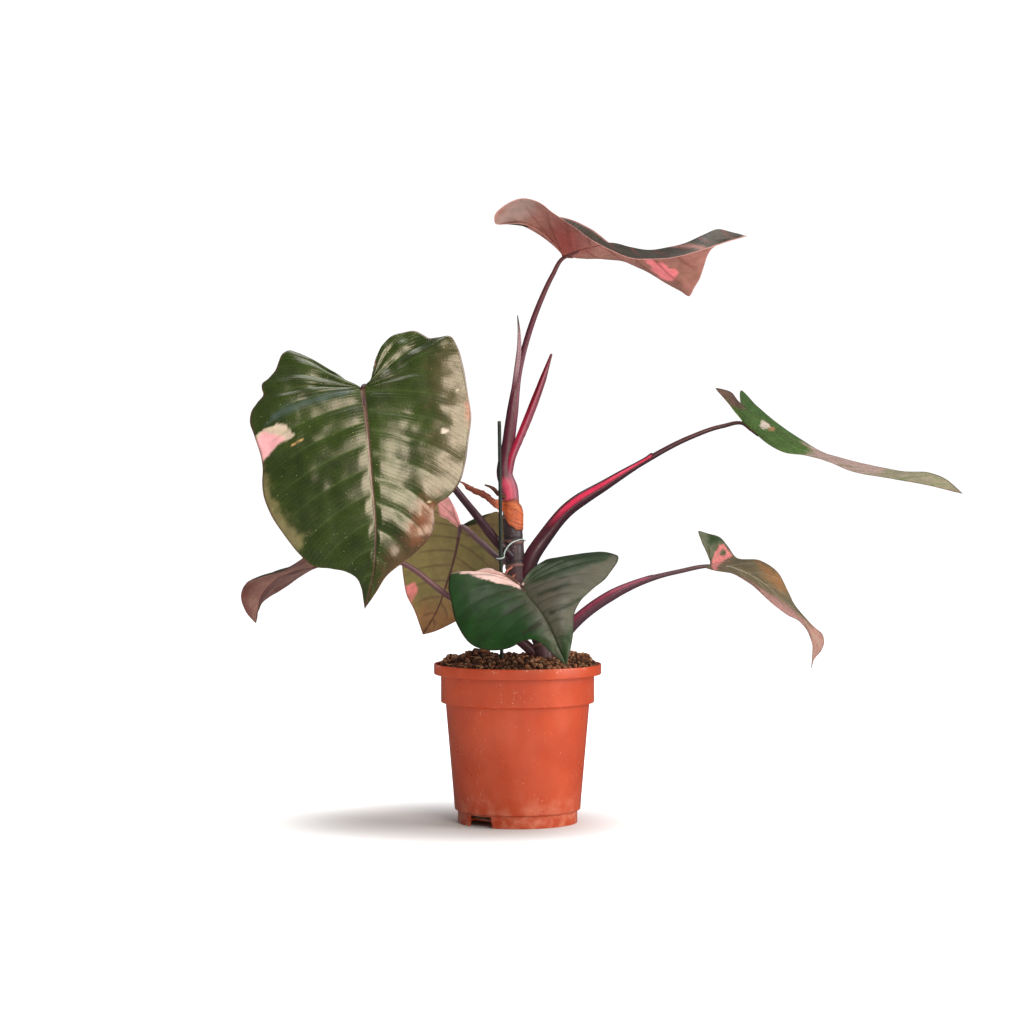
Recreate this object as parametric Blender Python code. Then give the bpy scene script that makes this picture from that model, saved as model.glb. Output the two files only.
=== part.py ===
"""A philodendron with pink-variegated leaves, growing in a round plastic nursery pot.

Metres, +Z up, +X along the plant's longest reach, -Y its front. The origin is the centre of the flat pad
under the pot, which is what the pot stands on together with its foot ring.

The plant is drawn in millimetres from its root point, which lies on the pot's axis a little below the rim.
Every leaf is a petiole (its stalk) and a blade. A blade is given by three smooth curves that start at its
sinus, where the petiole meets it: the rib down the middle and the margin of each half, from the sinus round
the back lobe to the tip.
"""

import math

import bmesh
import bpy
import numpy as np
from mathutils import Matrix, Vector

# Overall sizes.
POT_HEIGHT = 0.114
RIM_RADIUS = 0.060
PLANT_SCALE = 1.0

# Pot.
RIM_HEIGHT = 0.0075
RIM_OVERHANG = 0.005
COLLAR_HEIGHT = 0.020
COLLAR_OVERHANG = 0.0034
BODY_TAPER = 0.0065
FOOT_INSET = 0.0022
FOOT_HEIGHT = 0.0087
WALL = 0.0015
FLOOR_LIFT = 0.004
PAD_RADIUS = 0.012
EDGE_BREAK = 0.0006
STEP_FALL = 0.001
NOTCH_WIDTH = 0.0205
NOTCH_HEIGHT = 0.008
NOTCH_INTO_FLOOR = 0.005
NOTCH_FLARE = 0.08
NOTCH_ANGLES = (231.0, 51.0)

# Soil.
SOIL_BELOW_RIM = 0.0035
SOIL_MOUND = 0.0075

# Plant.
ROOT_BELOW_RIM = 0.002
BLADE_SCALE = 1.0
BLADE_THICKNESS = 0.0008
PETIOLE_GIRTH = 1.0
STEM_GIRTH = 1.0
STAKE_RADIUS = 0.0013
CLIP_WIRE_RADIUS = 0.0005
CLIP_SLACK = 0.001
SHEATH_THICKNESS = 0.0006

# Clearance between pieces that touch, seat or pass through one another.
GAP = 0.0003

# Fineness of the mesh.
POT_SEGMENTS = 48
SOIL_RINGS = 6
TUBE_SIDES = 10
TUBE_STEP = 0.009
THIN_TUBE_SIDES = 6
THIN_TUBE_STEP = 0.002
BLADE_ROWS = 26
BLADE_COLUMNS = 4
SHEATH_STATIONS = 28

# Faces that meet at less than this many degrees are shaded as one smooth surface.
SMOOTH_ANGLE = 35.0
BLADE_SMOOTH_ANGLE = 80.0

MM = 0.001
CUTTER_REACH = 0.004

# Share of a margin, from the sinus, whose veins all start at the sinus, and how the rest run to the rib.
VEIN_FAN = 0.38
VEIN_SWEEP = 1.15

# A bow's curve peaks at 1, a third of the way out. Rows shorter than the reach, in millimetres, bow less.
BOW_PEAK = 6.75
BOW_REACH = 30

SOIL_LEVEL = POT_HEIGHT - ROOT_BELOW_RIM
COLLAR_RADIUS = RIM_RADIUS - RIM_OVERHANG
BODY_TOP_RADIUS = COLLAR_RADIUS - COLLAR_OVERHANG
BODY_FOOT_RADIUS = BODY_TOP_RADIUS - BODY_TAPER
FOOT_RADIUS = BODY_FOOT_RADIUS - FOOT_INSET

# The main stem leans from the soil towards the left and then rises.
STEM_PATH = [(24, 0, -30), (20, 0, 3), (17, 0, 19), (9, 0, 39), (1, 0, 58), (-3, 0, 91), (-5, 0, 119)]
STEM_RADII = [8, 7, 6.7, 7, 7, 7, 6]

# Each petiole starts inside the stem, in a socket, and ends under its blade's sinus. "under" points from
# the blade to the side that the petiole comes from. "camber" is how far each half bulges along "face" at
# even steps of its margin, and "bow" is how far the edges of the sinus curve in beside the petiole.
LEAVES = {
    "upper_left": {
        "petiole": [(-5, -4, 79), (-15, -11, 90), (-27, -25, 106), (-44, -45, 128), (-78, -68, 176)],
        "petiole_radii": [3.6, 3.3, 2.7, 2.5, 2.4, 2.2, 2],
        "under": (0, 1, -0.2),
        "rib": [
            (-107, -80, 198), (-103, -93, 169), (-100, -101, 138), (-97, -106, 101), (-99, -104, 70),
            (-105, -98, 46)],
        "near": [
            (-101, -78, 203), (-98, -76, 209), (-98, -74, 218), (-95, -71, 226), (-88, -69, 234),
            (-80, -68, 237), (-71, -68, 238), (-65, -69, 235), (-62, -70, 233), (-55, -72, 233),
            (-47, -74, 234), (-41, -76, 225), (-38, -79, 215), (-34, -83, 192), (-32, -86, 179),
            (-34, -89, 161), (-36, -91, 146), (-40, -93, 133), (-47, -95, 124), (-57, -97, 116),
            (-57, -99, 106), (-59, -100, 98), (-68, -101, 87), (-79, -102, 78), (-89, -102, 70),
            (-97, -100, 58)],
        "far": [
            (-112, -79, 197), (-118, -79, 199), (-124, -78, 204), (-130, -77, 211), (-136, -76, 215),
            (-143, -75, 219), (-151, -74, 223), (-159, -75, 224), (-163, -76, 221), (-165, -77, 216),
            (-167, -79, 210), (-172, -81, 204), (-176, -82, 201), (-176, -84, 197), (-175, -85, 194),
            (-179, -87, 188), (-183, -88, 182), (-184, -89, 175), (-181, -91, 166), (-177, -93, 154),
            (-175, -94, 144), (-175, -96, 133), (-174, -97, 125), (-169, -99, 112), (-160, -101, 98),
            (-150, -102, 85), (-140, -102, 76), (-127, -102, 74), (-117, -101, 72), (-110, -101, 68),
            (-107, -100, 60), (-106, -99, 52)],
        "face": (0, -1, 0.2),
        "camber": ([0, 4, 6, 4, 0], [0, 4, 6, 4, 0]),
        "bow": 5,
    },
    "lower_left": {
        "petiole": [
            (17, 1, 4), (9, 2, 12), (1, 2, 19), (-16, 2, 32), (-49, 0, 50), (-82, -5, 74),
            (-112, -12, 83)],
        "petiole_radii": [4, 3.9, 3.2, 2.3, 2, 1.9, 1.8, 1.8],
        "under": (0.3, -0.7, -0.8),
        "rib": [
            (-130, -14, 83), (-144, -18, 73), (-160, -22, 69), (-172, -26, 63), (-181, -30, 53),
            (-185, -34, 33)],
        "near": [
            (-122, -24, 90), (-121, -44, 96), (-134, -64, 91), (-149, -72, 80), (-160, -74, 73),
            (-176, -70, 68), (-189, -60, 63), (-194, -48, 52), (-191, -40, 41)],
        "far": [
            (-121, -2, 80), (-124, 16, 73), (-136, 30, 70), (-146, 36, 69), (-159, 36, 62), (-168, 32, 56),
            (-182, 16, 47), (-185, -8, 41)],
        "face": (-0.3, 0.7, 0.8),
        "camber": ([0, 2, 3, 2, 0], [0, 2, 3, 2, 0]),
        "bow": 2,
    },
    "back": {
        "petiole": [(-3, 5, 72), (-15, 22, 78), (-27, 34, 88)],
        "petiole_radii": [2.6, 2.4, 2.3, 2.1],
        "under": (0, -1, -0.1),
        "rib": [(-42, 46, 98), (-45, 56, 81), (-52, 65, 57), (-60, 69, 35), (-70, 70, 18)],
        "near": [
            (-38, 44, 99), (-30, 40, 101), (-24, 36, 106), (-15, 34, 110), (-8, 38, 102), (-7, 46, 85),
            (-11, 56, 67), (-20, 62, 48), (-35, 66, 34), (-47, 68, 27), (-62, 70, 20)],
        "far": [
            (-45, 42, 106), (-51, 38, 121), (-64, 40, 123), (-77, 46, 109), (-84, 52, 89), (-85, 56, 70),
            (-84, 60, 60), (-81, 64, 46), (-77, 66, 38), (-73, 69, 27)],
        "face": (0, 1, 0.1),
        "camber": ([0, 3, 4, 3, 0], [0, 3, 4, 3, 0]),
        "bow": 2,
    },
    "front": {
        "petiole": [(14, -2, 19), (9, -14, 34)],
        "petiole_radii": [3, 2.5, 2],
        "under": (0, 0.6, -0.8),
        "rib": [(3, -30, 58), (7, -46, 53), (19, -86, 39), (27, -108, 23), (33, -118, 9)],
        "near": [
            (-10, -24, 67), (-21, -16, 71), (-35, -10, 67), (-47, -12, 67), (-49, -18, 60), (-47, -30, 49),
            (-42, -52, 32), (-32, -68, 20), (-21, -80, 17), (-7, -90, 19), (4, -98, 25), (8, -101, 26),
            (15, -106, 24), (23, -112, 17)],
        "far": [
            (9, -28, 59), (12, -16, 66), (20, -4, 76), (30, 0, 78), (50, -4, 81), (61, -8, 82),
            (71, -16, 80), (64, -34, 67), (52, -56, 58), (43, -74, 50), (39, -88, 43), (37, -108, 26)],
        "face": (0, -0.6, 0.8),
        "camber": ([0, 4, 5, 4, 0], [0, 4, 5, 4, 0]),
        "bow": 3,
    },
    "lower_right": {
        "petiole": [(23, 0, 7), (40, 0, 30), (68, 0, 51), (93, 0, 62), (116, 0, 68)],
        "petiole_radii": [5, 4.3, 4, 3.8, 2.6, 1.7, 1.6],
        "under": (0, 0, -1),
        "rib": [
            (139, 0, 73), (153, 0, 71), (171, -1, 63), (184, -2, 53), (196, -2, 43), (203, -1, 36),
            (208, 0, 28), (212, 0, 17), (211, 0, -2)],
        "near": [
            (136, -12, 72), (133, -26, 72), (140, -38, 70), (152, -45, 68), (164, -46, 62), (177, -42, 49),
            (190, -32, 39), (201, -20, 33), (208, -12, 24), (211, -8, 14), (211, -4, 5)],
        "far": [
            (139, 8, 82), (136, 16, 89), (131, 22, 96), (139, 30, 94), (148, 38, 91), (154, 44, 84),
            (160, 48, 76), (178, 47, 74), (190, 42, 66), (197, 34, 52), (201, 26, 43), (207, 18, 35),
            (214, 14, 27), (220, 12, 22), (221, 10, 17), (219, 7, 11), (213, 3, 4)],
        "face": (0.2, -0.3, 1),
        "camber": ([0, 0], [0, 0]),
        "bow": 0,
    },
    "right": {
        "petiole": [
            (5, 0, 63), (10, 0, 78), (20, 2, 93), (35, 4, 111), (65, 6, 131), (88, 7, 145),
            (124, 9, 164), (147, 10, 172)],
        "petiole_radii": [6, 5.6, 4.9, 4.8, 3.5, 2.2, 1.9, 1.7, 1.6],
        "under": (-0.2, 0, -1),
        "rib": [
            (163, 10, 175), (172, 9, 167), (182, 8, 159), (192, 8, 154), (206, 6, 152), (224, 5, 147),
            (238, 4, 141), (268, 2, 135), (295, 0, 130), (319, 0, 124)],
        "near": [
            (158, 4, 185), (154, -4, 193), (141, -12, 199), (151, -24, 196), (156, -34, 189),
            (167, -44, 180), (180, -50, 171), (192, -52, 163), (206, -50, 156), (225, -46, 150),
            (246, -38, 145), (274, -26, 140), (293, -16, 139), (306, -8, 134)],
        "far": [
            (161, 18, 187), (162, 30, 198), (174, 44, 188), (189, 52, 176), (205, 55, 165), (219, 54, 156),
            (236, 50, 148), (255, 42, 142), (286, 28, 136), (305, 14, 132)],
        "face": (0.2, 0, 1),
        "camber": ([0, 0], [0, 0]),
        "bow": 0,
    },
    "top": {
        "petiole": [(-9, 0, 136), (-7, 0, 156), (-4, 0, 180), (1, 0, 212), (17, 0, 263), (25, 0, 280)],
        "petiole_radii": [6, 5.6, 4.4, 4, 2.7, 2.2, 2.1, 1.9, 1.7],
        "under": (0, 0, -1),
        "rib": [
            (33, 0, 294), (50, 0, 300), (68, 0, 303), (81, 0, 300), (93, 0, 298), (108, 0, 300),
            (120, 0, 303), (133, 0, 309), (144, 0, 313), (152, 0, 311), (164, 0, 308)],
        "near": [
            (22, -9, 305), (17, -13, 309), (7, -19, 314), (-4, -26, 315), (-16, -31, 315), (-16, -35, 320),
            (-10, -39, 326), (4, -44, 331), (15, -47, 328), (24, -49, 321), (39, -51, 311), (53, -51, 301),
            (71, -49, 292), (81, -47, 289), (93, -43, 289), (107, -36, 290), (129, -22, 296),
            (143, -13, 301)],
        "far": [
            (40, 12, 293), (32, 24, 307), (25, 36, 324), (36, 46, 324), (53, 52, 317), (69, 55, 306),
            (88, 53, 295), (97, 50, 287), (110, 45, 276), (120, 40, 270), (125, 37, 267), (128, 33, 272),
            (132, 28, 279), (134, 24, 285), (139, 16, 299), (151, 8, 306)],
        "face": (0, 0, 1),
        "camber": ([0, 9, 7, 2, 0, 0, 0, 0], [0, 0, -4, -8, -5, 0, 0, 0]),
        "bow": 2,
    },
}

# The lowest two petioles leave the stem so near the soil that they sit in it as well.
PETIOLES_IN_SOIL = ("lower_left", "lower_right")

# The top leaf's petiole stands on the stem's cut-off top, so its first stretch follows the stem.
TOP_PETIOLE_RUN = 8

# The unopened leaf and the tip of the last sheath come out of the top leaf's petiole.
SPEAR_PATH = [(-6, -1, 138), (-4, -3, 149), (1, -4, 162), (9, -4, 182), (17, -4, 203), (24, -4, 223)]
SPEAR_RADII = [3, 3.2, 3.1, 3.1, 2.6, 1]
SHEATH_TIP_PATH = [(-4, -1, 190), (-1, -2, 210), (1, -3, 226), (1, -3, 240), (0, -3, 252)]
SHEATH_TIP_RADII = [1.8, 1.9, 2, 1.3, 0.4]

# A dead stalk that curls up beside the stem, and two short aerial roots.
STALK_STUB_PATH = [(-8, -3, 121), (-14, -7, 124), (-18, -9, 128), (-23, -9, 130)]
STALK_STUB_RADII = [1.8, 1.8, 1.4, 0.8]
AERIAL_ROOT_PATHS = [
    [(-3, -5, 72), (-8, -11, 68), (-10, -12, 59)],
    [(-2, -6, 66), (-5, -12, 62), (-4, -13, 54)],
]
AERIAL_ROOT_RADII = [0.9, 0.8, 0.5]

# The stake stands in the soil in front of the stem.
STAKE_PATH = [(-11, -17, -37), (-12, -17, 92), (-13, -17, 176)]

# The clip's wire goes round the front of the stem and then round the stake, at these angles and heights.
CLIP_STEM_AXIS = (-3, 0)
CLIP_STEM_ANGLES = (10, -55, -95)
CLIP_STEM_HEIGHTS = (90, 91, 89)
STEM_RADIUS_AT_CLIP = 7.1
CLIP_STAKE_AXIS = (-12, -17)
CLIP_STAKE_ANGLES = (30, -30, -90, -170)
CLIP_STAKE_HEIGHTS = (81, 79, 78, 78)

# The dry sheath: a strip that hangs off to the left, then wraps round the top of the stem.
SHEATH_TAIL = [(-41, -5, 132), (-33, -6, 127), (-24, -7, 123), (-16, -8, 117)]
SHEATH_TAIL_WIDTHS = (3.4, 4.4, 5.4, 6.2)
SHEATH_AXIS = (-4, 0)
SHEATH_WRAP_ANGLES = (215, 250, 290, 330, 370, 410)
SHEATH_WRAP_HEIGHTS = (114.5, 110.5, 109, 106, 103.5, 102.5)
SHEATH_WRAP_WIDTHS = (7, 17, 22, 17, 12, 7)
STEM_RADIUS_AT_SHEATH = 7.3


def remove_all():
    """Empties the scene."""
    for obj in list(bpy.data.objects):
        bpy.data.objects.remove(obj, do_unlink=True)


def plain_material(name, colour, roughness, metallic=0.0):
    """A Principled material of one colour."""
    material = bpy.data.materials.new(name)
    material.use_nodes = True
    shader = material.node_tree.nodes["Principled BSDF"]
    shader.inputs["Base Color"].default_value = (*colour, 1.0)
    shader.inputs["Roughness"].default_value = roughness
    shader.inputs["Metallic"].default_value = metallic
    return material


def make_object(name, bm, material, smooth_angle=SMOOTH_ANGLE):
    """Turns a bmesh into a named object whose faces point out."""
    bmesh.ops.recalc_face_normals(bm, faces=bm.faces[:])
    mesh = bpy.data.meshes.new(name)
    bm.to_mesh(mesh)
    bm.free()
    mesh.shade_smooth()
    mesh.set_sharp_from_angle(angle=math.radians(smooth_angle))
    obj = bpy.data.objects.new(name, mesh)
    bpy.context.scene.collection.objects.link(obj)
    if material is not None:
        mesh.materials.append(material)
    return obj


def cut(target, cutter):
    """Takes the cutter's shape out of the target, and keeps the cutter only as a guide."""
    cutter.hide_render = True
    cutter.display_type = "WIRE"
    boolean = target.modifiers.new("cut_" + cutter.name, "BOOLEAN")
    boolean.operation = "DIFFERENCE"
    boolean.solver = "EXACT"
    boolean.object = cutter


def smooth_curve(points, shares):
    """Points at the given shares, from 0 to 1, of a smooth curve through the given points."""
    points = np.asarray(points, float)
    steps = np.linalg.norm(np.diff(points, axis=0), axis=1)
    knots = np.concatenate([[0.0], np.cumsum(steps)]) / steps.sum()
    slopes = np.gradient(points, knots, axis=0)
    slopes[0] = (points[1] - points[0]) / (knots[1] - knots[0])
    slopes[-1] = (points[-1] - points[-2]) / (knots[-1] - knots[-2])
    shares = np.clip(np.asarray(shares, float), 0.0, 1.0)
    index = np.clip(np.searchsorted(knots, shares) - 1, 0, len(knots) - 2)
    span = (knots[index + 1] - knots[index])[:, None]
    t = (shares - knots[index])[:, None] / span
    start = (1 + 2 * t) * (1 - t) ** 2 * points[index] + t * (1 - t) ** 2 * span * slopes[index]
    end = t**2 * (3 - 2 * t) * points[index + 1] + t**2 * (t - 1) * span * slopes[index + 1]
    return start + end


def placed(point):
    """A point of the plant, given in millimetres from its root point, as a place in metres."""
    x, y, z = (value * MM * PLANT_SCALE for value in point)
    return Vector((x, y, SOIL_LEVEL + z))


def ring_points(centre, across, over, radius, sides):
    """A circle of points round the centre."""
    angles = [2 * math.pi * side / sides for side in range(sides)]
    return [centre + radius * (math.cos(a) * across + math.sin(a) * over) for a in angles]


def swept_tube(name, path, radii, material, grow=0.0, sides=TUBE_SIDES, step=TUBE_STEP):
    """A round bar along a smooth path in metres, with flat ends. "grow" fattens and lengthens it."""
    length = sum((b - a).length for a, b in zip(path, path[1:]))
    count = max(5, math.ceil(length / step) + 1)
    shares = np.linspace(0.0, 1.0, count)
    centres = [Vector(point) for point in smooth_curve(path, shares)]
    sizes = np.interp(shares, np.linspace(0.0, 1.0, len(radii)), radii).tolist()
    first = (Vector(path[1]) - Vector(path[0])).normalized()
    last = (Vector(path[-1]) - Vector(path[-2])).normalized()
    centres[0] = centres[0] - first * grow
    centres[-1] = centres[-1] + last * grow
    bm = bmesh.new()
    rings = []
    across = first.orthogonal().normalized()
    for index, centre in enumerate(centres):
        along = first
        if 0 < index < count - 1:
            along = (centres[index + 1] - centres[index - 1]).normalized()
        elif index == count - 1:
            along = last
        across = (across - across.dot(along) * along).normalized()
        circle = ring_points(centre, across, along.cross(across), sizes[index] + grow, sides)
        rings.append([bm.verts.new(point) for point in circle])
    for low, high in zip(rings, rings[1:]):
        for side in range(sides):
            after = (side + 1) % sides
            bm.faces.new((low[side], low[after], high[after], high[side]))
    bm.faces.new(rings[0])
    bm.faces.new(rings[-1])
    return make_object(name, bm, material)


def turned(name, profile, material):
    """A solid turned about the Z axis from (radius, height) points that start and end on the axis."""
    bm = bmesh.new()
    verts = [bm.verts.new((radius, 0.0, height)) for radius, height in profile]
    edges = [bm.edges.new(pair) for pair in zip(verts, verts[1:])]
    bmesh.ops.spin(
        bm, geom=verts + edges, cent=(0, 0, 0), axis=(0, 0, 1), dvec=(0, 0, 0),
        angle=2 * math.pi, steps=POT_SEGMENTS, use_merge=True)
    bmesh.ops.remove_doubles(bm, verts=bm.verts[:], dist=1e-6)
    return make_object(name, bm, material)


def pot_outside():
    """The pot's outer line, from the top of the rim down to the middle of the pad."""
    rim_low = POT_HEIGHT - RIM_HEIGHT
    collar_low = rim_low - COLLAR_HEIGHT
    return [
        (RIM_RADIUS - EDGE_BREAK, POT_HEIGHT),
        (RIM_RADIUS, POT_HEIGHT - EDGE_BREAK),
        (RIM_RADIUS, rim_low + EDGE_BREAK),
        (RIM_RADIUS - EDGE_BREAK, rim_low),
        (COLLAR_RADIUS, rim_low),
        (COLLAR_RADIUS, collar_low),
        (BODY_TOP_RADIUS, collar_low - STEP_FALL),
        (BODY_FOOT_RADIUS, FOOT_HEIGHT + STEP_FALL),
        (FOOT_RADIUS, FOOT_HEIGHT),
        (FOOT_RADIUS, 0.0),
        (FOOT_RADIUS - WALL, 0.0),
        (FOOT_RADIUS - WALL, FLOOR_LIFT),
        (PAD_RADIUS, FLOOR_LIFT),
        (PAD_RADIUS, 0.0),
        (0.0, 0.0),
    ]


def pot_inside(gap):
    """The pot's inner line, from the middle of the floor up to the rim, or a line that far inside it."""
    rim_low = POT_HEIGHT - RIM_HEIGHT
    collar_low = rim_low - COLLAR_HEIGHT
    inset = WALL + gap
    return [
        (0.0, inset),
        (PAD_RADIUS - inset, inset),
        (PAD_RADIUS - inset, FLOOR_LIFT + inset),
        (FOOT_RADIUS - inset, FLOOR_LIFT + inset),
        (FOOT_RADIUS - inset, FOOT_HEIGHT + gap + WALL / 2),
        (BODY_FOOT_RADIUS - inset, FOOT_HEIGHT + STEP_FALL + gap + WALL / 2),
        (BODY_TOP_RADIUS - inset, collar_low - STEP_FALL + gap + WALL / 2),
        (COLLAR_RADIUS - inset, collar_low + gap + WALL),
        (COLLAR_RADIUS - inset, rim_low + inset),
        (RIM_RADIUS - inset, rim_low + inset),
    ]


def notch_cutter(index, angle):
    """A wedge that opens the foot ring and the edge of the floor, a little wider at the ground."""
    inner = FOOT_RADIUS - WALL - NOTCH_INTO_FLOOR
    outer = FOOT_RADIUS + WALL
    below = -CUTTER_REACH
    bm = bmesh.new()
    bmesh.ops.create_cube(bm, size=1.0)
    for vert in bm.verts:
        top = vert.co.z > 0
        width = NOTCH_WIDTH * (1.0 - NOTCH_FLARE if top else 1.0 + NOTCH_FLARE)
        vert.co.x = outer if vert.co.x > 0 else inner
        vert.co.y = math.copysign(width / 2, vert.co.y)
        vert.co.z = NOTCH_HEIGHT if top else below
    bmesh.ops.rotate(bm, verts=bm.verts[:], matrix=Matrix.Rotation(math.radians(angle), 3, "Z"))
    return make_object(f"notch_cutter_{index}", bm, None)


def make_pot():
    """The pot, with its rim, collar, tapering body, recessed foot and drainage notches."""
    material = plain_material("terracotta_plastic", (0.68, 0.10, 0.035), 0.35)
    lip = [(RIM_RADIUS - WALL, POT_HEIGHT - EDGE_BREAK / 2), (RIM_RADIUS - WALL / 2, POT_HEIGHT)]
    pot = turned("pot", pot_inside(0.0) + lip + pot_outside(), material)
    for index, angle in enumerate(NOTCH_ANGLES):
        cut(pot, notch_cutter(index, angle))
    return pot


def make_soil():
    """The soil, which fills the pot and rises a little in the middle."""
    material = plain_material("potting_soil", (0.06, 0.03, 0.015), 0.95)
    line = pot_inside(GAP)
    edge_radius = line[-1][0]
    edge_height = POT_HEIGHT - SOIL_BELOW_RIM
    top = []
    for ring in range(SOIL_RINGS + 1):
        share = 1.0 - ring / SOIL_RINGS
        top.append((edge_radius * share, edge_height + SOIL_MOUND * (1.0 - share**2)))
    return turned("soil", line + top, material)


def make_stem(material):
    """The main stem, from its buried foot to its top."""
    path = [placed(point) for point in STEM_PATH]
    radii = [radius * MM * PLANT_SCALE * STEM_GIRTH for radius in STEM_RADII]
    return swept_tube("main_stem", path, radii, material), path, radii


def blade_point(leaf, point):
    """A point of a blade, scaled about its sinus."""
    sinus = placed(leaf["rib"][0])
    return sinus + (placed(point) - sinus) * BLADE_SCALE


def blade_half(leaf, side, shares):
    """Rows of points that run from the rib out to the margin of one half."""
    rib = [blade_point(leaf, point) for point in leaf["rib"]]
    margin = [rib[0]] + [blade_point(leaf, point) for point in leaf[side]] + [rib[-1]]
    fan = np.clip((shares - VEIN_FAN) / (1.0 - VEIN_FAN), 0.0, 1.0) ** VEIN_SWEEP
    inner = smooth_curve(rib, fan)
    outer = smooth_curve(margin, shares)
    face = np.array(Vector(leaf["face"]).normalized())
    unit = MM * PLANT_SCALE * BLADE_SCALE
    near = side == "near"
    camber = leaf["camber"][0 if near else 1]
    rises = np.interp(shares, np.linspace(0.0, 1.0, len(camber)), camber) * unit
    across = np.linspace(0.0, 1.0, BLADE_COLUMNS + 1)[:, None]
    arch = 4.0 * across * (1.0 - across)
    bend = BOW_PEAK * across * (1.0 - across) ** 2
    rows = []
    for share, rise, low, high in zip(shares, rises, inner, outer):
        length = np.linalg.norm(high - low)
        inward = np.cross((high - low) / length, face) * (1.0 if near else -1.0)
        bow = leaf["bow"] * unit * max(0.0, 1.0 - share / VEIN_FAN) * min(1.0, length / (BOW_REACH * unit))
        rows.append(low + (high - low) * across + face * rise * arch + inward * bow * bend)
    return rows


def blade_faces(bm, verts, sinus, tip):
    """Faces between one half's rows, which fan out from the sinus and close at the tip."""
    for low, high in zip(verts, verts[1:]):
        for column in range(BLADE_COLUMNS):
            corners = (low[column], low[column + 1], high[column + 1], high[column])
            if low[column] is high[column]:
                corners = (sinus, low[column + 1], high[column + 1])
            bm.faces.new(corners)
    for column in range(BLADE_COLUMNS):
        bm.faces.new((verts[-1][column], verts[-1][column + 1], tip))


def make_blade(name, leaf, material):
    """A leaf's blade: both halves as one sheet, thickened."""
    shares = np.linspace(0.0, 1.0, BLADE_ROWS + 1)[1:-1]
    bm = bmesh.new()
    sinus = bm.verts.new(blade_point(leaf, leaf["rib"][0]))
    tip = bm.verts.new(blade_point(leaf, leaf["rib"][-1]))
    rib = [sinus if share <= VEIN_FAN else None for share in shares]
    for side in ("near", "far"):
        verts = []
        for index, row in enumerate(blade_half(leaf, side, shares)):
            if rib[index] is None:
                rib[index] = bm.verts.new(row[0])
            verts.append([rib[index]] + [bm.verts.new(point) for point in row[1:]])
        blade_faces(bm, verts, sinus, tip)
    blade = make_object(name, bm, material, smooth_angle=BLADE_SMOOTH_ANGLE)
    solidify = blade.modifiers.new("thickness", "SOLIDIFY")
    solidify.thickness = BLADE_THICKNESS
    solidify.offset = 0.0
    return blade


def petiole_path(leaf, start):
    """A petiole's path, which ends just clear of the blade, under its sinus."""
    tip_radius = leaf["petiole_radii"][-1] * MM * PLANT_SCALE * PETIOLE_GIRTH
    under = Vector(leaf["under"]).normalized()
    seat = placed(leaf["rib"][0]) + under * (tip_radius + BLADE_THICKNESS + GAP)
    return start + [placed(point) for point in leaf["petiole"]] + [seat]


def make_leaf(name, leaf, start, base_radius, blade_material, petiole_material):
    """One leaf's blade and petiole, and the petiole's path and radii for its socket."""
    make_blade(f"blade_{name}", leaf, blade_material)
    path = petiole_path(leaf, start)
    radii = [radius * MM * PLANT_SCALE * PETIOLE_GIRTH for radius in leaf["petiole_radii"]]
    if base_radius:
        radii[0] = base_radius
    petiole = swept_tube(f"petiole_{name}", path, radii, petiole_material)
    return petiole, path, radii


def cut_socket(target, name, path, radii):
    """Opens a socket in the target for a bar that starts inside it."""
    cut(target, swept_tube(f"{target.name}_socket_{name}", path, radii, None, grow=GAP))


def grown_bar(name, points, radii, material, sides=TUBE_SIDES):
    """A bar that is part of the plant, with its path and radii for its socket."""
    path = [placed(point) for point in points]
    radii = [radius * MM * PLANT_SCALE * PETIOLE_GIRTH for radius in radii]
    return swept_tube(name, path, radii, material, sides=sides), path, radii


def sheath_stations():
    """Centre, width and outward direction of the dry sheath at each station along it."""
    wrap_radius = STEM_RADIUS_AT_SHEATH * STEM_GIRTH + plant_millimetres(GAP + SHEATH_THICKNESS)
    wrap = arc_points(SHEATH_AXIS, wrap_radius, SHEATH_WRAP_ANGLES, SHEATH_WRAP_HEIGHTS)
    outwards = [(0.0, -1.0, 0.0)] * len(SHEATH_TAIL)
    for x, y, _ in wrap:
        outwards.append(((x - SHEATH_AXIS[0]) / wrap_radius, (y - SHEATH_AXIS[1]) / wrap_radius, 0.0))
    return SHEATH_TAIL + wrap, outwards, SHEATH_TAIL_WIDTHS + SHEATH_WRAP_WIDTHS


def make_dry_sheath(material):
    """The dry sheath of an old leaf: a strip that wraps round the stem and hangs off to one side."""
    centres, outwards, widths = sheath_stations()
    shares = np.linspace(0.0, 1.0, SHEATH_STATIONS)
    middle = smooth_curve(centres, shares)
    steps = np.linalg.norm(np.diff(np.asarray(centres, float), axis=0), axis=1)
    knots = np.concatenate([[0.0], np.cumsum(steps)]) / steps.sum()
    half = SHEATH_THICKNESS / 2
    bm = bmesh.new()
    rings = []
    for share, centre in zip(shares, middle):
        out = Vector([np.interp(share, knots, [item[axis] for item in outwards]) for axis in range(3)])
        out.normalize()
        width = float(np.interp(share, knots, widths)) * MM * PLANT_SCALE / 2
        place = placed(centre)
        corners = ((-half, -width), (half, -width), (half, width), (-half, width))
        rings.append([bm.verts.new(place + out * depth + Vector((0, 0, rise))) for depth, rise in corners])
    for low, high in zip(rings, rings[1:]):
        for side in range(len(low)):
            after = (side + 1) % len(low)
            bm.faces.new((low[side], low[after], high[after], high[side]))
    bm.faces.new(rings[0])
    bm.faces.new(rings[-1])
    return make_object("dry_sheath", bm, material)


def make_stake(soil, material):
    """The thin stake, and its hole in the soil."""
    path = [placed(point) for point in STAKE_PATH]
    radii = [STAKE_RADIUS] * len(path)
    swept_tube("support_stake", path, radii, material)
    cut_socket(soil, "support_stake", path, radii)


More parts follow.
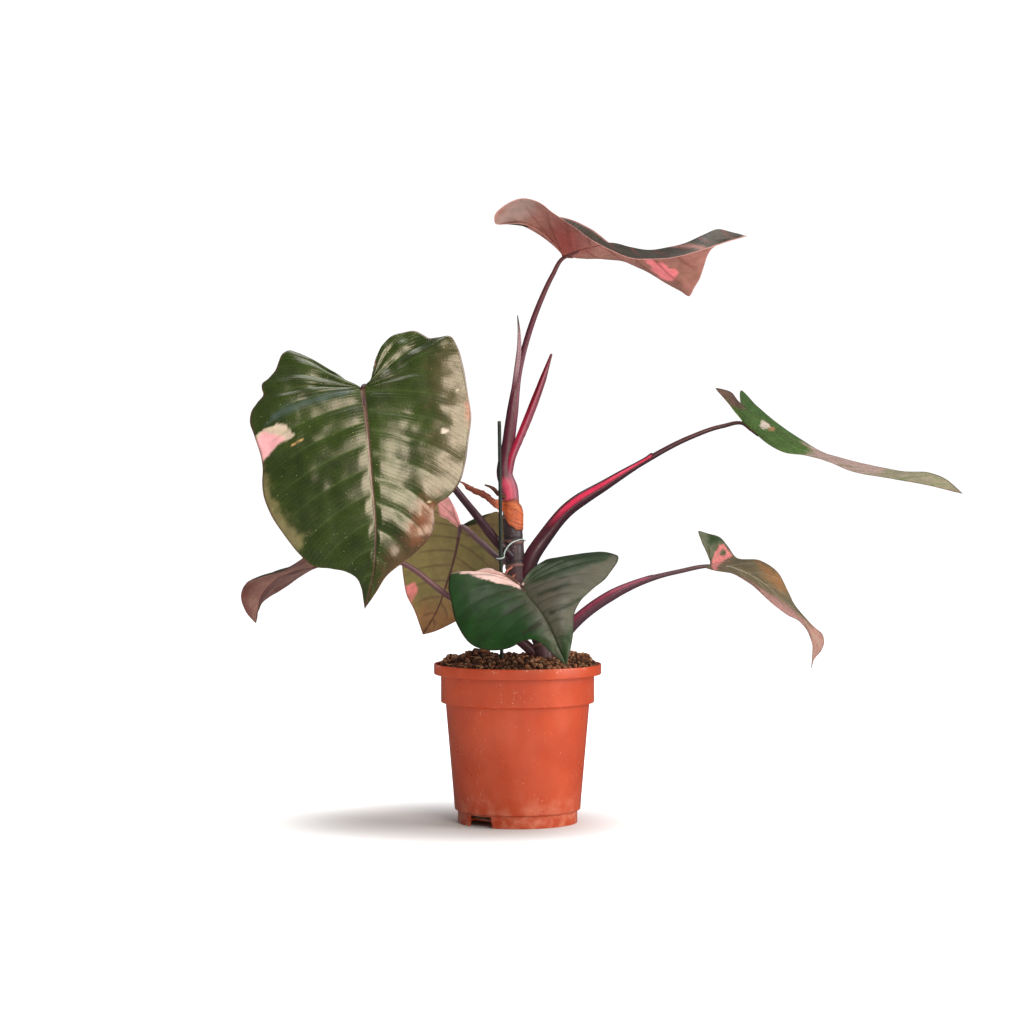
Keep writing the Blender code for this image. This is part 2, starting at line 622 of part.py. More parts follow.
def arc_points(axis, radius, angles, heights):
    """Points round an upright axis, in the plant's millimetres."""
    points = []
    for angle, height in zip(angles, heights):
        c = math.cos(math.radians(angle))
        s = math.sin(math.radians(angle))
        points.append((axis[0] + radius * c, axis[1] + radius * s, height))
    return points


def plant_millimetres(length):
    """A length in metres that doesn't grow with the plant, in the plant's millimetres."""
    return length / MM / PLANT_SCALE


def make_clip(material):
    """The wire clip that holds the stem to the stake."""
    room = CLIP_WIRE_RADIUS + CLIP_SLACK
    stem_loop = STEM_RADIUS_AT_CLIP * STEM_GIRTH + plant_millimetres(room)
    stake_loop = plant_millimetres(STAKE_RADIUS + room)
    points = arc_points(CLIP_STEM_AXIS, stem_loop, CLIP_STEM_ANGLES, CLIP_STEM_HEIGHTS)
    points += arc_points(CLIP_STAKE_AXIS, stake_loop, CLIP_STAKE_ANGLES, CLIP_STAKE_HEIGHTS)
    path = [placed(point) for point in points]
    swept_tube(
        "plant_clip", path, [CLIP_WIRE_RADIUS] * len(path), material,
        sides=THIN_TUBE_SIDES, step=THIN_TUBE_STEP)


def build():
    """Makes every piece."""
    remove_all()
    leaf_material = plain_material("leaf_green", (0.035, 0.07, 0.02), 0.3)
    petiole_material = plain_material("petiole_purple", (0.06, 0.015, 0.025), 0.35)
    stem_material = plain_material("stem_purple_grey", (0.045, 0.03, 0.035), 0.5)
    red_material = plain_material("new_leaf_red", (0.33, 0.02, 0.05), 0.35)
    dry_material = plain_material("dry_sheath_brown", (0.45, 0.10, 0.03), 0.7)
    root_material = plain_material("aerial_root_pink", (0.35, 0.12, 0.10), 0.6)
    stake_material = plain_material("stake_dark_green", (0.01, 0.018, 0.012), 0.45)
    clip_material = plain_material("clip_grey", (0.30, 0.36, 0.35), 0.4)

    make_pot()
    soil = make_soil()
    stem, stem_path, stem_radii = make_stem(stem_material)
    cut_socket(soil, "main_stem", stem_path, stem_radii)

    rise = (stem_path[-1] - stem_path[-2]).normalized()
    foot = stem_path[-1] + rise * GAP
    top_start = [foot, foot + rise * TOP_PETIOLE_RUN * MM * PLANT_SCALE]
    top_petiole = None
    for name, leaf in LEAVES.items():
        on_top = name == "top"
        start = top_start if on_top else []
        base_radius = stem_radii[-1] if on_top else None
        petiole, path, radii = make_leaf(name, leaf, start, base_radius, leaf_material, petiole_material)
        if on_top:
            top_petiole = petiole
        else:
            cut_socket(stem, f"petiole_{name}", path, radii)
        if name in PETIOLES_IN_SOIL:
            cut_socket(soil, f"petiole_{name}", path, radii)

    for name, path, radii, material in (
            ("new_leaf_spear", SPEAR_PATH, SPEAR_RADII, red_material),
            ("sheath_tip", SHEATH_TIP_PATH, SHEATH_TIP_RADII, red_material),
            ("dead_stalk_stub", STALK_STUB_PATH, STALK_STUB_RADII, petiole_material)):
        bar, bar_path, bar_radii = grown_bar(name, path, radii, material)
        cut_socket(top_petiole, name, bar_path, bar_radii)

    for index, path in enumerate(AERIAL_ROOT_PATHS, start=1):
        name = f"aerial_root_{index}"
        bar, bar_path, bar_radii = grown_bar(
            name, path, AERIAL_ROOT_RADII, root_material, sides=THIN_TUBE_SIDES)
        cut_socket(stem, name, bar_path, bar_radii)

    make_dry_sheath(dry_material)
    make_stake(soil, stake_material)
    make_clip(clip_material)


build()
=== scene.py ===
"""The looks of a young pink-variegated philodendron in a plastic nursery pot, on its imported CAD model.

Metres, +Z up, -Y the front. The plant's own curves are in millimetres from its root point, as in the CAD
part, and a blade is given by its rib and the margin of each half. Colours are sRGB, 0 to 255.
"""

import math

import bmesh
import bpy
import numpy as np
from mathutils import Matrix, Vector, noise


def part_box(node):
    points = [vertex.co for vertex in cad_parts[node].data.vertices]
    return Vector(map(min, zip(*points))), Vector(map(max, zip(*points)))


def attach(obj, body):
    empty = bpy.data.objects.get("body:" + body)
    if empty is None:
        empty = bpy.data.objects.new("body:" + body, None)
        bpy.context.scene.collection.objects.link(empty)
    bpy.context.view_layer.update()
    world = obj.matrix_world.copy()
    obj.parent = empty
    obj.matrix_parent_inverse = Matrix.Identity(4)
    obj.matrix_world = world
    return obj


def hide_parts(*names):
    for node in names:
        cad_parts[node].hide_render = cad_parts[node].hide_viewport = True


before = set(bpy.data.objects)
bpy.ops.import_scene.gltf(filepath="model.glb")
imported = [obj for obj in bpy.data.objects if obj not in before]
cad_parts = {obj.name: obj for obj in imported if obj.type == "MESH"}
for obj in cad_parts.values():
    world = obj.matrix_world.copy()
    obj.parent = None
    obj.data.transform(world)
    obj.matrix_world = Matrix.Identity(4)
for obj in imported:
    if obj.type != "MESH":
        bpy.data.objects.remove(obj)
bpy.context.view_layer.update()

MM = 0.001
SEED = 11

# The pot, measured on its CAD node, and its steps.
POT_LOW, POT_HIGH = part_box("pot")
POT_HEIGHT = POT_HIGH.z
RIM_RADIUS = POT_HIGH.x
RIM_HEIGHT = 0.0075
COLLAR_RADIUS = RIM_RADIUS - 0.005
COLLAR_HEIGHT = 0.020
BODY_TOP_RADIUS = COLLAR_RADIUS - 0.0034
BODY_FOOT_RADIUS = BODY_TOP_RADIUS - 0.0065
FOOT_RADIUS = BODY_FOOT_RADIUS - 0.0022
FOOT_HEIGHT = 0.0087
WALL = 0.0015
FLOOR_LIFT = 0.004
PAD_RADIUS = 0.012
STEP_FALL = 0.001
NOTCH_WIDTH = 0.0205
NOTCH_HEIGHT = 0.008
NOTCH_DEPTH = 0.0065
NOTCH_ANGLES = (231.0, 51.0)
GAP = 0.0003

ROOT_HEIGHT = POT_HEIGHT - 0.002
SOIL_EDGE = POT_HEIGHT - 0.0035
SOIL_MOUND = 0.0075

# Camera: long lens, a little above the leaves' middle, tipped slightly down.
CAMERA_PLACE = (-0.004, -2.14, 0.276)
CAMERA_TILT = math.radians(1.43)
CAMERA_LENS = 105.0
CAMERA_SENSOR = 36.0


def rgb(red, green, blue):
    """A linear colour from sRGB values of 0 to 255."""
    values = np.array([red, green, blue], float) / 255.0
    return np.where(values <= 0.04045, values / 12.92, ((values + 0.055) / 1.055) ** 2.4)


def smoothstep(low, high, value):
    """0 below low, 1 above high, and a smooth turn between them."""
    t = np.clip((value - low) / (high - low), 0.0, 1.0)
    return t * t * (3.0 - 2.0 * t)


def blend(first, second, share):
    """Colours mixed by a share for each point."""
    share = np.asarray(share, float)[..., None]
    return first * (1.0 - share) + second * share


def fractal(points, size, seed, octaves=3):
    """Smooth noise of about -1 to 1 at points in metres, with features of the given size in metres."""
    shift = Vector((seed * 7.31, seed * 3.17, seed * 5.77))
    flat = points.reshape(-1, 3) / size
    values = [noise.fractal(Vector(p) + shift, 0.9, 2.0, octaves) for p in flat]
    return np.array(values).reshape(points.shape[:-1])


def smooth_curve(points, shares):
    """Points at the given shares, from 0 to 1, of a smooth curve through the given points."""
    points = np.asarray(points, float)
    steps = np.linalg.norm(np.diff(points, axis=0), axis=1)
    knots = np.concatenate([[0.0], np.cumsum(steps)]) / steps.sum()
    slopes = np.gradient(points, knots, axis=0)
    slopes[0] = (points[1] - points[0]) / (knots[1] - knots[0])
    slopes[-1] = (points[-1] - points[-2]) / (knots[-1] - knots[-2])
    shares = np.clip(np.asarray(shares, float), 0.0, 1.0)
    index = np.clip(np.searchsorted(knots, shares) - 1, 0, len(knots) - 2)
    span = (knots[index + 1] - knots[index])[:, None]
    t = (shares - knots[index])[:, None] / span
    start = (1 + 2 * t) * (1 - t) ** 2 * points[index] + t * (1 - t) ** 2 * span * slopes[index]
    end = t**2 * (3 - 2 * t) * points[index + 1] + t**2 * (t - 1) * span * slopes[index + 1]
    return start + end


def placed(points):
    """Points of the plant, given in millimetres from its root point, in metres."""
    return np.asarray(points, float) * MM + np.array([0.0, 0.0, ROOT_HEIGHT])


# ---------------------------------------------------------------------------------------------------------
# Mesh helpers


def linked(name, data):
    """A new object of the scene with this data."""
    obj = bpy.data.objects.new(name, data)
    bpy.context.scene.collection.objects.link(obj)
    return obj


def mesh_object(name, verts, faces, materials, tint, extra=None, face_material=None):
    """A smooth, closed mesh object whose faces point out, with its tint and other values at its points."""
    mesh = bpy.data.meshes.new(name)
    mesh.from_pydata([tuple(v) for v in np.asarray(verts).tolist()], [], faces)
    mesh.update()
    mesh.shade_smooth()
    colours = np.concatenate([np.clip(tint, 0.0, 1.0), np.ones((len(tint), 1))], axis=1)
    layer = mesh.attributes.new("tint", "FLOAT_COLOR", "POINT")
    layer.data.foreach_set("color", colours.astype(np.float32).ravel())
    for key, values in (extra or {}).items():
        layer = mesh.attributes.new(key, "FLOAT", "POINT")
        layer.data.foreach_set("value", np.asarray(values, np.float32).ravel())
    for item in materials:
        mesh.materials.append(item)
    if face_material is not None:
        mesh.polygons.foreach_set("material_index", np.asarray(face_material, np.int32))
    bm = bmesh.new()
    bm.from_mesh(mesh)
    bmesh.ops.recalc_face_normals(bm, faces=bm.faces[:])
    bm.to_mesh(mesh)
    bm.free()
    return linked(name, mesh)


def stand_for(obj, node):
    """The piece rides on the root body and stands for its CAD node, which is hidden."""
    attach(obj, "root")
    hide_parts(node)
    return obj


def tidy_faces(quads):
    """Quads as lists of different corners: a corner given twice makes a triangle, and slivers go."""
    faces = []
    for quad in quads.tolist():
        corners = [c for i, c in enumerate(quad) if c != quad[i - 1]]
        if len(set(corners)) >= 3:
            faces.append(corners)
    return faces


def grid_quads(index):
    """The quads between the rows and columns of an index grid."""
    return np.stack([index[:-1, :-1], index[:-1, 1:], index[1:, 1:], index[1:, :-1]], axis=-1).reshape(-1, 4)


def point_normals(verts, quads):
    """Smooth unit normals at the points of a quad mesh."""
    cross = np.cross(verts[quads[:, 2]] - verts[quads[:, 0]], verts[quads[:, 3]] - verts[quads[:, 1]])
    normals = np.zeros_like(verts)
    for corner in range(4):
        np.add.at(normals, quads[:, corner], cross)
    return normals / np.maximum(np.linalg.norm(normals, axis=1), 1e-12)[:, None]


# ---------------------------------------------------------------------------------------------------------
# Material helpers


class Nodes:
    """A material under construction: short calls that add and link its nodes."""

    def __init__(self, name):
        self.material = bpy.data.materials.new(name)
        self.material.use_nodes = True
        self.tree = self.material.node_tree
        self.shader = self.tree.nodes["Principled BSDF"]

    def link(self, value, socket):
        """Sets a socket to a number or a colour, or links it to another node's socket."""
        if isinstance(value, bpy.types.NodeSocket):
            self.tree.links.new(value, socket)
        elif isinstance(value, (tuple, list, np.ndarray)) and socket.type == "RGBA":
            socket.default_value = (*[float(v) for v in value[:3]], 1.0)
        elif isinstance(value, (tuple, list, np.ndarray)):
            socket.default_value = tuple(float(v) for v in value)
        else:
            socket.default_value = value

    def add(self, kind, settings=None, **inputs):
        """Adds a node of this kind."""
        node = self.tree.nodes.new(kind)
        for key, value in (settings or {}).items():
            setattr(node, key, value)
        for key, value in inputs.items():
            self.link(value, node.inputs[key.replace("_", " ")])
        return node

    def stored(self, name, output):
        """A value or colour stored at the mesh's points."""
        return self.add("ShaderNodeAttribute", {"attribute_name": name}).outputs[output]

    def place(self):
        """The point's place on the object, in metres."""
        return self.add("ShaderNodeTexCoord").outputs["Object"]

    def noise(self, scale, detail, distortion=0.0):
        """Noise from 0 to 1, with about "scale" features in a metre, or one number for each axis."""
        place = self.place()
        if isinstance(scale, tuple):
            place = self.add("ShaderNodeMapping", Vector=place, Scale=scale).outputs["Vector"]
            scale = 1.0
        node = self.add("ShaderNodeTexNoise", Scale=scale, Detail=detail, Roughness=0.55,
                        Distortion=distortion, Vector=place)
        return node.outputs["Fac"]

    def cells(self, scale):
        """Distance to the nearest point of a random scatter, with about "scale" points in a metre."""
        return self.add("ShaderNodeTexVoronoi", Scale=scale, Vector=self.place()).outputs["Distance"]

    def maths(self, operation, first, second=0.0):
        """One arithmetic step."""
        node = self.add("ShaderNodeMath", {"operation": operation})
        self.link(first, node.inputs[0])
        self.link(second, node.inputs[1])
        return node.outputs[0]

    def ramp(self, value, low, high, to_low=0.0, to_high=1.0):
        """The value's range from low to high, turned smoothly into another range."""
        node = self.add("ShaderNodeMapRange", {"interpolation_type": "SMOOTHSTEP"})
        for key, item in (("Value", value), ("From Min", low), ("From Max", high), ("To Min", to_low),
                          ("To Max", to_high)):
            self.link(item, node.inputs[key])
        return node.outputs["Result"]

    def mix(self, share, first, second, mode="MIX"):
        """Two colours mixed. The Mix node's colour sockets come after its number and vector sockets."""
        node = self.add("ShaderNodeMix", {"data_type": "RGBA", "blend_type": mode})
        for socket, item in ((0, share), (6, first), (7, second)):
            self.link(item, node.inputs[socket])
        return node.outputs[2]

    def shaded(self, colour, shade):
        """A colour made lighter or darker by a factor."""
        grey = self.add("ShaderNodeCombineColor", Red=shade, Green=shade, Blue=shade).outputs[0]
        return self.mix(1.0, colour, grey, "MULTIPLY")

    def bump(self, height, distance, strength=1.0, below=None):
        """A bump of the given height in metres, on top of another."""
        node = self.add("ShaderNodeBump", Strength=strength, Distance=distance)
        self.link(height, node.inputs["Height"])
        if below is not None:
            self.link(below, node.inputs["Normal"])
        return node.outputs["Normal"]

    def finish(self, **inputs):
        """Links the shader's sockets and gives the material."""
        for key, value in inputs.items():
            self.link(value, self.shader.inputs[key.replace("_", " ")])
        return self.material


# ---------------------------------------------------------------------------------------------------------
# Leaf blades

# The veins: the share of a margin that the rib's first point fans out to, how the rest follow the rib, how
# they bend, and how far the far half's veins lie from the near half's, as a share of the gap between two.
VEIN_FAN = 0.38
VEIN_SWEEP = 1.15
VEIN_CURVE = 0.055
VEIN_OFFSET = 0.37
# The bow of the first veins: it brings the peak of x (1 - x)^2 to 1, and is full on veins of this length.
BOW_PEAK = 6.75
BOW_REACH = 30
# The skin, in metres, thins out to this share over the last millimetres before the margin.
BLADE_THICKNESS = 0.0007
RIM_SHARE = 0.35
RIM_REACH = 5.0
# Columns crowd towards the rib. Heights of the relief are in millimetres, the undulation's length in metres.
COLUMN_CROWDING = 1.4
UNDULATION_LENGTH = 0.034
RIB_GROOVE = 0.35
RIB_KEEL = 0.9
VEIN_RIDGE = 0.16
VEIN_WIDTH = 0.07
# Any two unrelated numbers give each band between two veins its own swell.
BAND_MIX = (12.9898, 78.233)

LEAVES = {
    "upper_left": {
        "rib": [
            (-107, -80, 198), (-103, -93, 169), (-100, -101, 138), (-97, -106, 101), (-99, -104, 70),
            (-105, -98, 46)],
        "near": [
            (-101, -78, 203), (-98, -76, 209), (-98, -74, 218), (-95, -71, 226), (-88, -69, 234),
            (-80, -68, 237), (-71, -68, 238), (-65, -69, 235), (-62, -70, 233), (-55, -72, 233),
            (-47, -74, 234), (-41, -76, 225), (-38, -79, 215), (-34, -83, 192), (-32, -86, 179),
            (-34, -89, 161), (-36, -91, 146), (-40, -93, 133), (-47, -95, 124), (-57, -97, 116),
            (-57, -99, 106), (-59, -100, 98), (-68, -101, 87), (-79, -102, 78), (-89, -102, 70),
            (-97, -100, 58)],
        "far": [
            (-112, -79, 197), (-118, -79, 199), (-124, -78, 204), (-130, -77, 211), (-136, -76, 215),
            (-143, -75, 219), (-151, -74, 223), (-159, -75, 224), (-163, -76, 221), (-165, -77, 216),
            (-167, -79, 210), (-172, -81, 204), (-176, -82, 201), (-176, -84, 197), (-175, -85, 194),
            (-179, -87, 188), (-183, -88, 182), (-184, -89, 175), (-181, -91, 166), (-177, -93, 154),
            (-175, -94, 144), (-175, -96, 133), (-174, -97, 125), (-169, -99, 112), (-160, -101, 98),
            (-150, -102, 85), (-140, -102, 76), (-127, -102, 74), (-117, -101, 72), (-110, -101, 68),
            (-107, -100, 60), (-106, -99, 52)],
        "face": (0, -1, 0.2),
        "camber": ([0, 0.3, 0.5, 0.5, 0], [0, 2.5, 3.5, 2.5, 0]),
        "bow": 5,
    },
    "lower_left": {
        "rib": [
            (-130, -14, 83), (-144, -18, 73), (-160, -22, 69), (-172, -26, 63), (-181, -30, 53),
            (-185, -34, 33)],
        "near": [
            (-122, -24, 90), (-121, -44, 96), (-134, -64, 91), (-149, -72, 80), (-160, -74, 73),
            (-176, -70, 68), (-189, -60, 63), (-194, -48, 52), (-191, -40, 41)],
        "far": [
            (-121, -2, 80), (-124, 16, 73), (-136, 30, 70), (-146, 36, 69), (-159, 36, 62), (-168, 32, 56),
            (-182, 16, 47), (-185, -8, 41)],
        "face": (-0.3, 0.7, 0.8),
        "camber": ([0, 2, 3, 2, 0], [0, 2, 3, 2, 0]),
        "bow": 2,
    },
    "back": {
        "rib": [(-42, 46, 98), (-45, 56, 81), (-52, 65, 57), (-60, 69, 35), (-70, 70, 18)],
        "near": [
            (-38, 44, 99), (-30, 40, 101), (-24, 36, 106), (-15, 34, 110), (-8, 38, 102), (-7, 46, 85),
            (-11, 56, 67), (-20, 62, 48), (-35, 66, 34), (-47, 68, 27), (-62, 70, 20)],
        "far": [
            (-45, 42, 106), (-51, 38, 121), (-64, 40, 123), (-77, 46, 109), (-84, 52, 89), (-85, 56, 70),
            (-84, 60, 60), (-81, 64, 46), (-77, 66, 38), (-73, 69, 27)],
        "face": (0, 1, 0.1),
        "camber": ([0, 3, 4, 3, 0], [0, 3, 4, 3, 0]),
        "bow": 2,
    },
    "front": {
        "rib": [(3, -30, 58), (7, -46, 53), (19, -86, 39), (27, -108, 23), (33, -118, 9)],
        "near": [
            (-10, -24, 67), (-21, -16, 71), (-35, -10, 67), (-47, -12, 67), (-49, -18, 60), (-47, -30, 49),
            (-42, -52, 32), (-32, -68, 20), (-21, -80, 17), (-7, -90, 19), (4, -98, 25), (8, -101, 26),
            (15, -106, 24), (23, -112, 17)],
        "far": [
            (9, -28, 59), (12, -16, 66), (20, -4, 76), (30, 0, 78), (50, -4, 81), (61, -8, 82),
            (71, -16, 80), (64, -34, 67), (52, -56, 58), (43, -74, 50), (39, -88, 43), (37, -108, 26)],
        "face": (0, -0.6, 0.8),
        "camber": ([0, 4, 5, 4, 0], [0, 4, 5, 4, 0]),
        "bow": 3,
    },
    "lower_right": {
        "rib": [
            (139, 0, 73), (153, 0, 71), (171, -1, 63), (184, -2, 53), (196, -2, 43), (203, -1, 36),
            (208, 0, 28), (212, 0, 17), (211, 0, -2)],
        "near": [
            (136, -12, 72), (133, -26, 72), (140, -38, 70), (152, -45, 68), (164, -46, 62), (177, -42, 49),
            (190, -32, 39), (201, -20, 33), (208, -12, 24), (211, -8, 14), (211, -4, 5)],
        "far": [
            (139, 8, 82), (136, 16, 89), (131, 22, 96), (139, 30, 94), (148, 38, 91), (154, 44, 84),
            (160, 48, 76), (178, 47, 74), (190, 42, 66), (197, 34, 52), (201, 26, 43), (207, 18, 35),
            (214, 14, 27), (220, 12, 22), (221, 10, 17), (219, 7, 11), (213, 3, 4)],
        "face": (0.2, -0.3, 1),
        "camber": ([0, 0], [0, 0]),
        "bow": 0,
    },
    "right": {
        "rib": [
            (163, 10, 175), (172, 9, 167), (182, 8, 159), (192, 8, 154), (206, 6, 152), (224, 5, 147),
            (238, 4, 141), (268, 2, 135), (295, 0, 130), (319, 0, 124)],
        "near": [
            (158, 4, 185), (154, -4, 193), (141, -12, 199), (151, -24, 196), (156, -34, 189),
            (167, -44, 180), (180, -50, 171), (192, -52, 163), (206, -50, 156), (225, -46, 150),
            (246, -38, 145), (274, -26, 140), (293, -16, 139), (306, -8, 134)],
        "far": [
            (161, 18, 187), (162, 30, 198), (174, 44, 188), (189, 52, 176), (205, 55, 165), (219, 54, 156),
            (236, 50, 148), (255, 42, 142), (286, 28, 136), (305, 14, 132)],
        "face": (0.2, 0, 1),
        "camber": ([0, 0], [0, 0]),
        "bow": 0,
    },
    "top": {
        "rib": [
            (33, 0, 294), (50, 0, 300), (68, 0, 303), (81, 0, 300), (93, 0, 298), (108, 0, 300),
            (120, 0, 303), (133, 0, 309), (144, 0, 313), (152, 0, 311), (164, 0, 308)],
        "near": [
            (22, -9, 305), (17, -13, 309), (7, -19, 314), (-4, -26, 315), (-16, -31, 315), (-16, -35, 320),
            (-10, -39, 326), (4, -44, 331), (15, -47, 328), (24, -49, 321), (39, -51, 311), (53, -51, 301),
            (71, -49, 292), (81, -47, 289), (93, -43, 289), (107, -36, 290), (129, -22, 296),
            (143, -13, 301)],
        "far": [
            (40, 12, 293), (32, 24, 307), (25, 36, 324), (36, 46, 324), (53, 52, 317), (69, 55, 306),
            (88, 53, 295), (97, 50, 287), (110, 45, 276), (120, 40, 270), (125, 37, 267), (128, 33, 272),
            (132, 28, 279), (134, 24, 285), (139, 16, 299), (151, 8, 306)],
        "face": (0, 0, 1),
        "camber": ([0, 9, 7, 2, 0, 0, 0, 0], [0, 0, -4, -8, -5, 0, 0, 0]),
        "bow": 2,
    },
}

# How each blade is made: rows and columns of its mesh, how many lateral veins a half has, how far the skin
# swells between them, how far it undulates and how wide its rib is, these three in millimetres.
BLADE_FORM = {
    "upper_left": (220, 56, 15, 0.95, 1.9, 2.3),
    "lower_left": (130, 34, 11, 0.3, 0.6, 1.5),
    "back": (150, 38, 12, 0.35, 0.8, 1.5),
    "front": (160, 44, 12, 0.5, 0.7, 1.5),
    "lower_right": (150, 34, 12, 0.25, 0.4, 1.5),
    "right": (170, 40, 13, 0.3, 0.4, 1.5),
    "top": (190, 44, 14, 0.35, 0.5, 1.5),
}

PINK = rgb(240, 172, 176)

# Patches of colour, a few of them painted sheen: the faces they show on, an outline in the front view in
# millimetres, its colour, how soft its border is and how far the border wanders, in millimetres.
PATCHES = {
    "upper_left": [
        # Partly a grey-brown tone of the skin, partly painted sheen on the outer right half.
        ("upper", [(-33, 228), (-32, 142), (-54, 118), (-65, 135), (-54, 176), (-60, 210), (-50, 228)],
         rgb(78, 72, 44), 12, 8),
        ("upper", [(-56, 123), (-68, 120), (-78, 101), (-91, 83), (-97, 60), (-100, 49), (-86, 60),
                   (-63, 80), (-50, 108)], rgb(76, 58, 34), 6, 4),
        ("upper", [(-72, 105), (-68, 116), (-63, 122), (-55, 121), (-56, 107), (-62, 97), (-71, 90),
                   (-74, 97)], rgb(112, 66, 40), 5, 4),
        ("upper", [(-35, 194), (-31, 196), (-29, 170), (-33, 168), (-36, 184)], rgb(140, 78, 52), 3, 2),
        # Painted sheen on the lower left of the left half.
        ("upper", [(-178, 142), (-174, 142), (-168, 121), (-156, 106), (-145, 98), (-150, 90),
                   (-158, 86), (-174, 108)], rgb(120, 112, 72), 4, 4),
        # A painted bluish sheen streak on the left half.
        ("upper", [(-172, 173), (-164, 183), (-143, 191), (-117, 197), (-115, 194), (-137, 188),
                   (-157, 181)], rgb(66, 84, 74), 3, 2),
        ("upper", [(-183, 160), (-177, 167), (-171, 171), (-165, 173), (-159, 172), (-155, 168),
                   (-152, 165), (-158, 162), (-164, 159), (-170, 154), (-175, 147), (-178, 141),
                   (-183, 141)], rgb(205, 186, 164), 0.5, 1.0),
        ("upper", [(-183, 158), (-178, 163), (-174, 168), (-169, 167), (-163, 165), (-159, 163),
                   (-164, 159), (-170, 154), (-175, 147), (-178, 141), (-183, 141)], PINK, 1.0, 0.8),
        ("upper", [(-52, 170), (-48, 169), (-49, 166), (-53, 167)], rgb(225, 205, 190), 0.4, 0.4),
        ("upper", [(-43, 197), (-41, 197), (-41, 195), (-43, 195)], rgb(200, 190, 160), 0.4, 0.3),
        ("upper", [(-62, 121), (-60, 121), (-60, 119), (-62, 119)], rgb(205, 190, 150), 0.4, 0.3),
        ("upper", [(-155, 159), (-147, 163), (-147, 162), (-155, 158)], rgb(205, 160, 100), 0.3, 0.3),
    ],
    "back": [
        ("both", [(-54, 124), (-47, 119), (-43, 111), (-39, 99), (-44, 97), (-49, 102), (-56, 107),
                  (-59, 117)], rgb(228, 158, 156), 0.7, 1.2),
        ("both", [(-84, 53), (-76, 57), (-74, 51), (-77, 44), (-79, 38), (-85, 46)],
         rgb(218, 130, 125), 0.7, 1.2),
        ("both", [(-88, 44), (-60, 40), (-30, 36), (-40, 10), (-90, 10)], rgb(150, 112, 72), 9, 5),
    ],
    "front": [
        # Painted grey sheen over the right half of this blade.
        ("upper", [(0, 60), (28, 84), (80, 90), (72, 55), (40, 20), (30, 6), (16, 34)],
         rgb(84, 84, 70), 9, 4),
        ("upper", [(8, 62), (10, 70), (20, 79), (35, 81), (50, 85), (58, 83), (70, 82), (62, 76), (49, 72),
                   (35, 66.5), (21, 62.5), (10, 60)], rgb(36, 58, 30), 1.6, 1.2),
        ("upper", [(14, 52.5), (26, 56), (38, 61), (37, 63), (25, 58.5), (14, 55)],
         rgb(42, 52, 34), 1.0, 0.8),
        ("upper", [(22, 41.5), (34, 46), (44, 51), (43.5, 53), (33, 48.5), (22, 44)],
         rgb(42, 52, 34), 1.0, 0.8),
        ("upper", [(-10, 39.5), (-2, 44), (6, 48), (5.5, 50), (-3, 46), (-10, 42)],
         rgb(34, 50, 28), 1.2, 0.8),
        ("upper", [(3, 28), (10, 31), (17, 34.5), (16.5, 36.5), (9, 33.5), (3, 30.5)],
         rgb(38, 50, 30), 1.0, 0.8),
        ("upper", [(29, 26), (36, 35), (41, 30), (40, 14), (34, 6), (29, 14)], rgb(36, 58, 30), 3.0, 1.5),
        ("upper", [(-46, 67), (-34, 75), (-21, 78), (-9, 71), (4, 60), (2, 57), (-8, 59), (-19, 61.5),
                   (-28, 64), (-36, 67)], rgb(244, 206, 198), 0.5, 1.3),
    ],
    "lower_right": [
        ("both", [(128, 102), (150, 102), (157, 82), (151, 85), (146, 86), (142, 81), (138, 73),
                  (130, 88)], rgb(104, 110, 88), 1.5, 1),
        ("both", [(138, 96), (147, 93), (151, 88), (146, 88), (141, 84), (138, 88)], rgb(48, 72, 42), 3, 1),
        ("both", [(138, 72), (142, 80), (146.5, 86), (150, 86), (157, 77), (151, 75), (144, 72), (139, 70)],
         rgb(222, 132, 132), 0.6, 0.8),
        ("both", [(146, 80), (148, 83), (152, 81), (151, 78), (147, 78)], rgb(86, 92, 62), 0.8, 0.6),
        ("both", [(174, 75), (193, 63), (199, 50), (189, 53), (178, 63)], rgb(146, 104, 66), 5, 2),
        ("both", [(160, 64), (180, 52), (196, 41), (207, 31), (199, 24), (180, 34), (160, 50)],
         rgb(160, 118, 112), 2, 1),
        ("both", [(205, 30), (226, 32), (228, 6), (205, -8)], rgb(150, 112, 102), 5, 2),
    ],
    "right": [
        ("both", [(136, 202), (158, 202), (160, 184), (150, 188), (140, 194)], rgb(118, 90, 76), 2, 1),
        ("both", [(206, 158), (221, 156), (262, 147), (262, 134), (225, 142), (206, 150)],
         rgb(176, 148, 140), 4, 3),
        ("both", [(258, 150), (330, 130), (330, 115), (258, 135)], rgb(142, 134, 110), 6, 3),
        ("both", [(171, 178), (175, 178), (176, 174), (177.5, 171.5), (174.5, 170), (172, 173)],
         rgb(222, 206, 190), 0.3, 0.4),
        ("both", [(177, 171), (180, 171.5), (180.5, 169), (178, 168.5)], rgb(176, 132, 86), 0.3, 0.4),
    ],
    "top": [
        ("under", [(20, 312), (36, 318), (50, 300), (30, 288)], rgb(132, 60, 54), 9, 3),
        # Partly a greyer tone at the lobe, partly painted grey sheen.
        ("under", [(-18, 312), (-8, 330), (6, 334), (14, 328), (6, 318), (-6, 314)],
         rgb(150, 124, 116), 6, 3),
        ("under", [(90, 292), (98, 292), (104, 290), (108, 286), (115, 285), (116, 282), (112, 278),
                   (106, 279), (98, 285)], rgb(214, 112, 116), 0.5, 1.6),
        ("upper", [(96, 301), (125, 301), (134, 298), (130, 297), (112, 299)], rgb(150, 100, 92), 1.5, 1.0),
    ],
}

